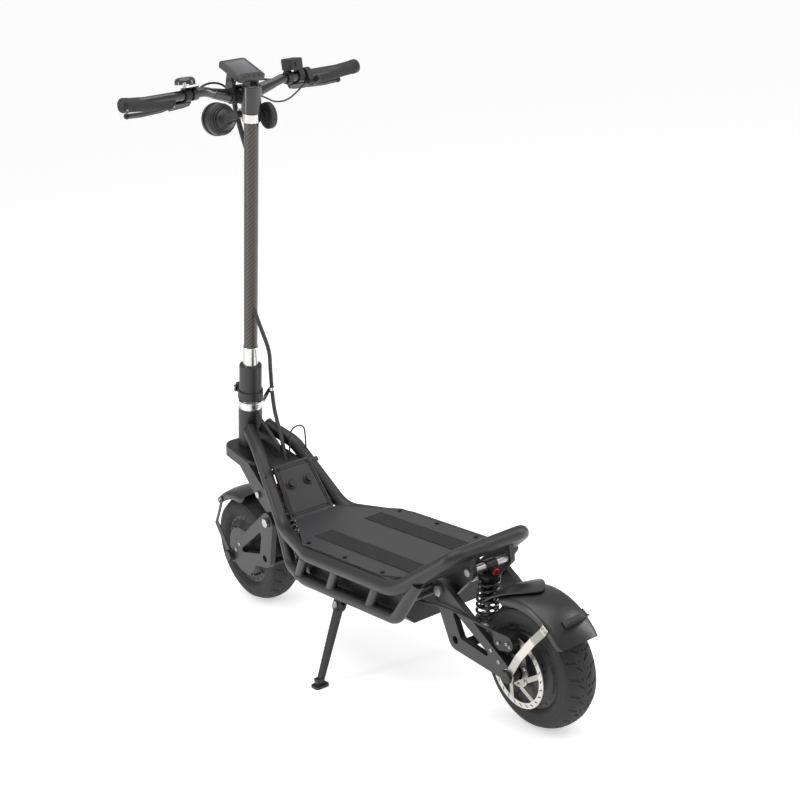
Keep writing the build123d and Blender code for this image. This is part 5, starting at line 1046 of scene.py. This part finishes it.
# ---- Headlight lens and bezel --------------------------------------------------------
# A round lamp with cooling fins behind: its moulded lens is fluted and slightly domed, and
# a gloss black bezel with a rolled lip holds it in.
lens = Finish("lamp lens", Coat_Weight=1.0, Coat_Roughness=0.03)
x, y, z = lens.axes((0, -0.440, 1.248))
radius = (x * x + z * z) ** 0.5
flute = ((x * 400).sine() * 0.5 + 0.5)
lens.feed("Base Color", lens.blend((radius / 0.03).least(1.0), (0.62, 0.62, 0.60), (0.24, 0.24, 0.235)))
lens.feed("Roughness", 0.12 + 0.2 * flute)
lens.bump(flute + (radius * 900).sine() * 0.5, 0.0006)
lamp = frame_at((0, -440, 1248), (0, -1, 0), (1, 0, 0))
face_at = -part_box("headlight")[0].y * 1000 - 440
dome = [(33, -3.0), (28, -1.2), (20, -0.1), (10, 0.4), (0, 0.5)]
lens_shape = bmesh.new()
turned(lens_shape, [(radius, face_at + z) for radius, z in dome], lamp, 96)
piece("headlight_lens", lens_shape, "stem", lens)
rolled = [(33.2, -3), (34, -0.2), (37.4, 0.4), (39.6, -1.4), (40.2, -4), (39.8, -8)]
bezel = bmesh.new()
turned(bezel, [(radius, face_at + z) for radius, z in rolled], lamp, 96)
piece("headlight_bezel", bezel, "stem", bar_gloss)

# ---- Cables --------------------------------------------------------------------------
# Brake hoses and wires in smooth black jackets, gathered in a braided wrap that comes
# down beside the stem, hops over the folding joint and goes in under the neck.
jacket = Finish("cable jacket")
matt = jacket.noise(300, 2)
jacket.feed("Base Color", jacket.blend(matt, (0.008, 0.008, 0.0085), (0.022, 0.0215, 0.0215)))
jacket.feed("Roughness", 0.38 + 0.2 * matt)
jacket.bump(matt, 0.00008)

braid = Finish("braided wrap")
mesh_size = {"Vector": braid.at, "Scale": 620.0, "Randomness": 0.55}
cells = braid.node("TexVoronoi", {"feature": "DISTANCE_TO_EDGE"}, mesh_size)
weave = braid.noise(1200, 2)
yarns = braid.blend(weave, (0.020, 0.020, 0.021), (0.060, 0.058, 0.058))
braid.feed("Base Color", braid.blend((cells * 6).least(1.0), (0.005, 0.005, 0.0055), yarns))
braid.feed("Roughness", 0.5 + 0.2 * weave)
braid.bump(cells, 0.0006)


def cable(name, route, radius, finish, body=None, as_mesh=False):
    """A cable as one smooth curve through the room its route leaves it."""
    curve = bpy.data.curves.new(name, "CURVE")
    curve.dimensions = "3D"
    curve.bevel_depth = radius / 1000
    curve.bevel_resolution = 4
    curve.use_fill_caps = True
    spline = curve.splines.new("NURBS")
    spline.points.add(len(route) - 1)
    for point, at in zip(spline.points, route):
        point.co = (*(Vector(at) / 1000), 1)
    spline.order_u = 3
    spline.use_endpoint_u = True
    spline.resolution_u = 14
    made = bpy.data.objects.new(name, curve)
    bpy.context.collection.objects.link(made)
    curve.materials.append(finish.material)
    if as_mesh:
        bpy.context.view_layer.update()
        mesh = bpy.data.meshes.new_from_object(made.evaluated_get(bpy.context.evaluated_depsgraph_get()))
        bpy.data.objects.remove(made)
        mesh.name = name
        made = bpy.data.objects.new(name, mesh)
        bpy.context.collection.objects.link(made)
    if body:
        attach(made, body)
    return made


WRAP = [(0, -372, 1304), (0, -372, 1249), (0, -337, 1158)]
LEFT_HOSE = [
    (134.2, -341.8, 1313.4), (110, -350, 1332), (72, -358, 1345),
    (30, -366, 1338), (6, -370, 1312), (2.5, -372, 1290),
]
RIGHT_HOSE = [
    (-134.2, -341.8, 1313.4), (-110, -348, 1324), (-72, -356, 1334),
    (-32, -366, 1330), (-7, -371, 1308), (-2.5, -372, 1288),
]
SWITCH_LOOP = [
    (-164.7, -303, 1317), (-142, -305, 1300), (-108, -311, 1278),
    (-70, -309, 1280), (-45, -301, 1294), (-23.8, -294, 1303),
]
DISPLAY_WIRE = [(0, -339.5, 1366), (0, -351, 1341), (0, -368, 1318), (0, -371, 1292)]
wrap = cable("stem_wrap", WRAP, 6, braid, "stem")
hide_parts("bar_cables")
cable("left_brake_hose", LEFT_HOSE, 2.5, jacket, "stem")
cable("right_brake_hose", RIGHT_HOSE, 2.5, jacket, "stem")
cable("switch_wire", SWITCH_LOOP, 2, jacket, "stem")
cable("display_wire", DISPLAY_WIRE, 2, jacket, "stem")

LOOM_UP = [(0, -424, 808), (0, -391, 738), (-18, -397, 680), (-42, -447, 620), (-42, -452, 570)]
LOOM_LOW = [(-42, -452, 570), (-42, -456.5, 525), (-30, -425, 482), (-12, -384, 445), (-6, -370, 388)]
NECK_LOOP = [
    (-17, -372, 409), (-17, -360, 450), (-19, -350, 490),
    (-57, -348, 492), (-62, -356, 452), (-62, -361, 425.2),
]
REAR_HOSE = [
    (96, 240.3, 236), (98, 298, 241), (94, 352, 246),
    (91, 412, 243), (87, 462, 236), (76, 507.4, 222),
]
loom_up = cable("loom_over_fold", LOOM_UP, 5, braid, as_mesh=True)
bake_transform(loom_up)
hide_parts("loom_upper")
loom_low = cable("loom_to_neck", LOOM_LOW, 5, braid, as_mesh=True)
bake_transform(loom_low)
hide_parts("loom_lower")
cable("neck_loop", NECK_LOOP, 2, jacket, "chassis")
hose = cable("rear_brake_hose", REAR_HOSE, 2.5, jacket, as_mesh=True)
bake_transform(hose)
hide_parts("rear_hose")
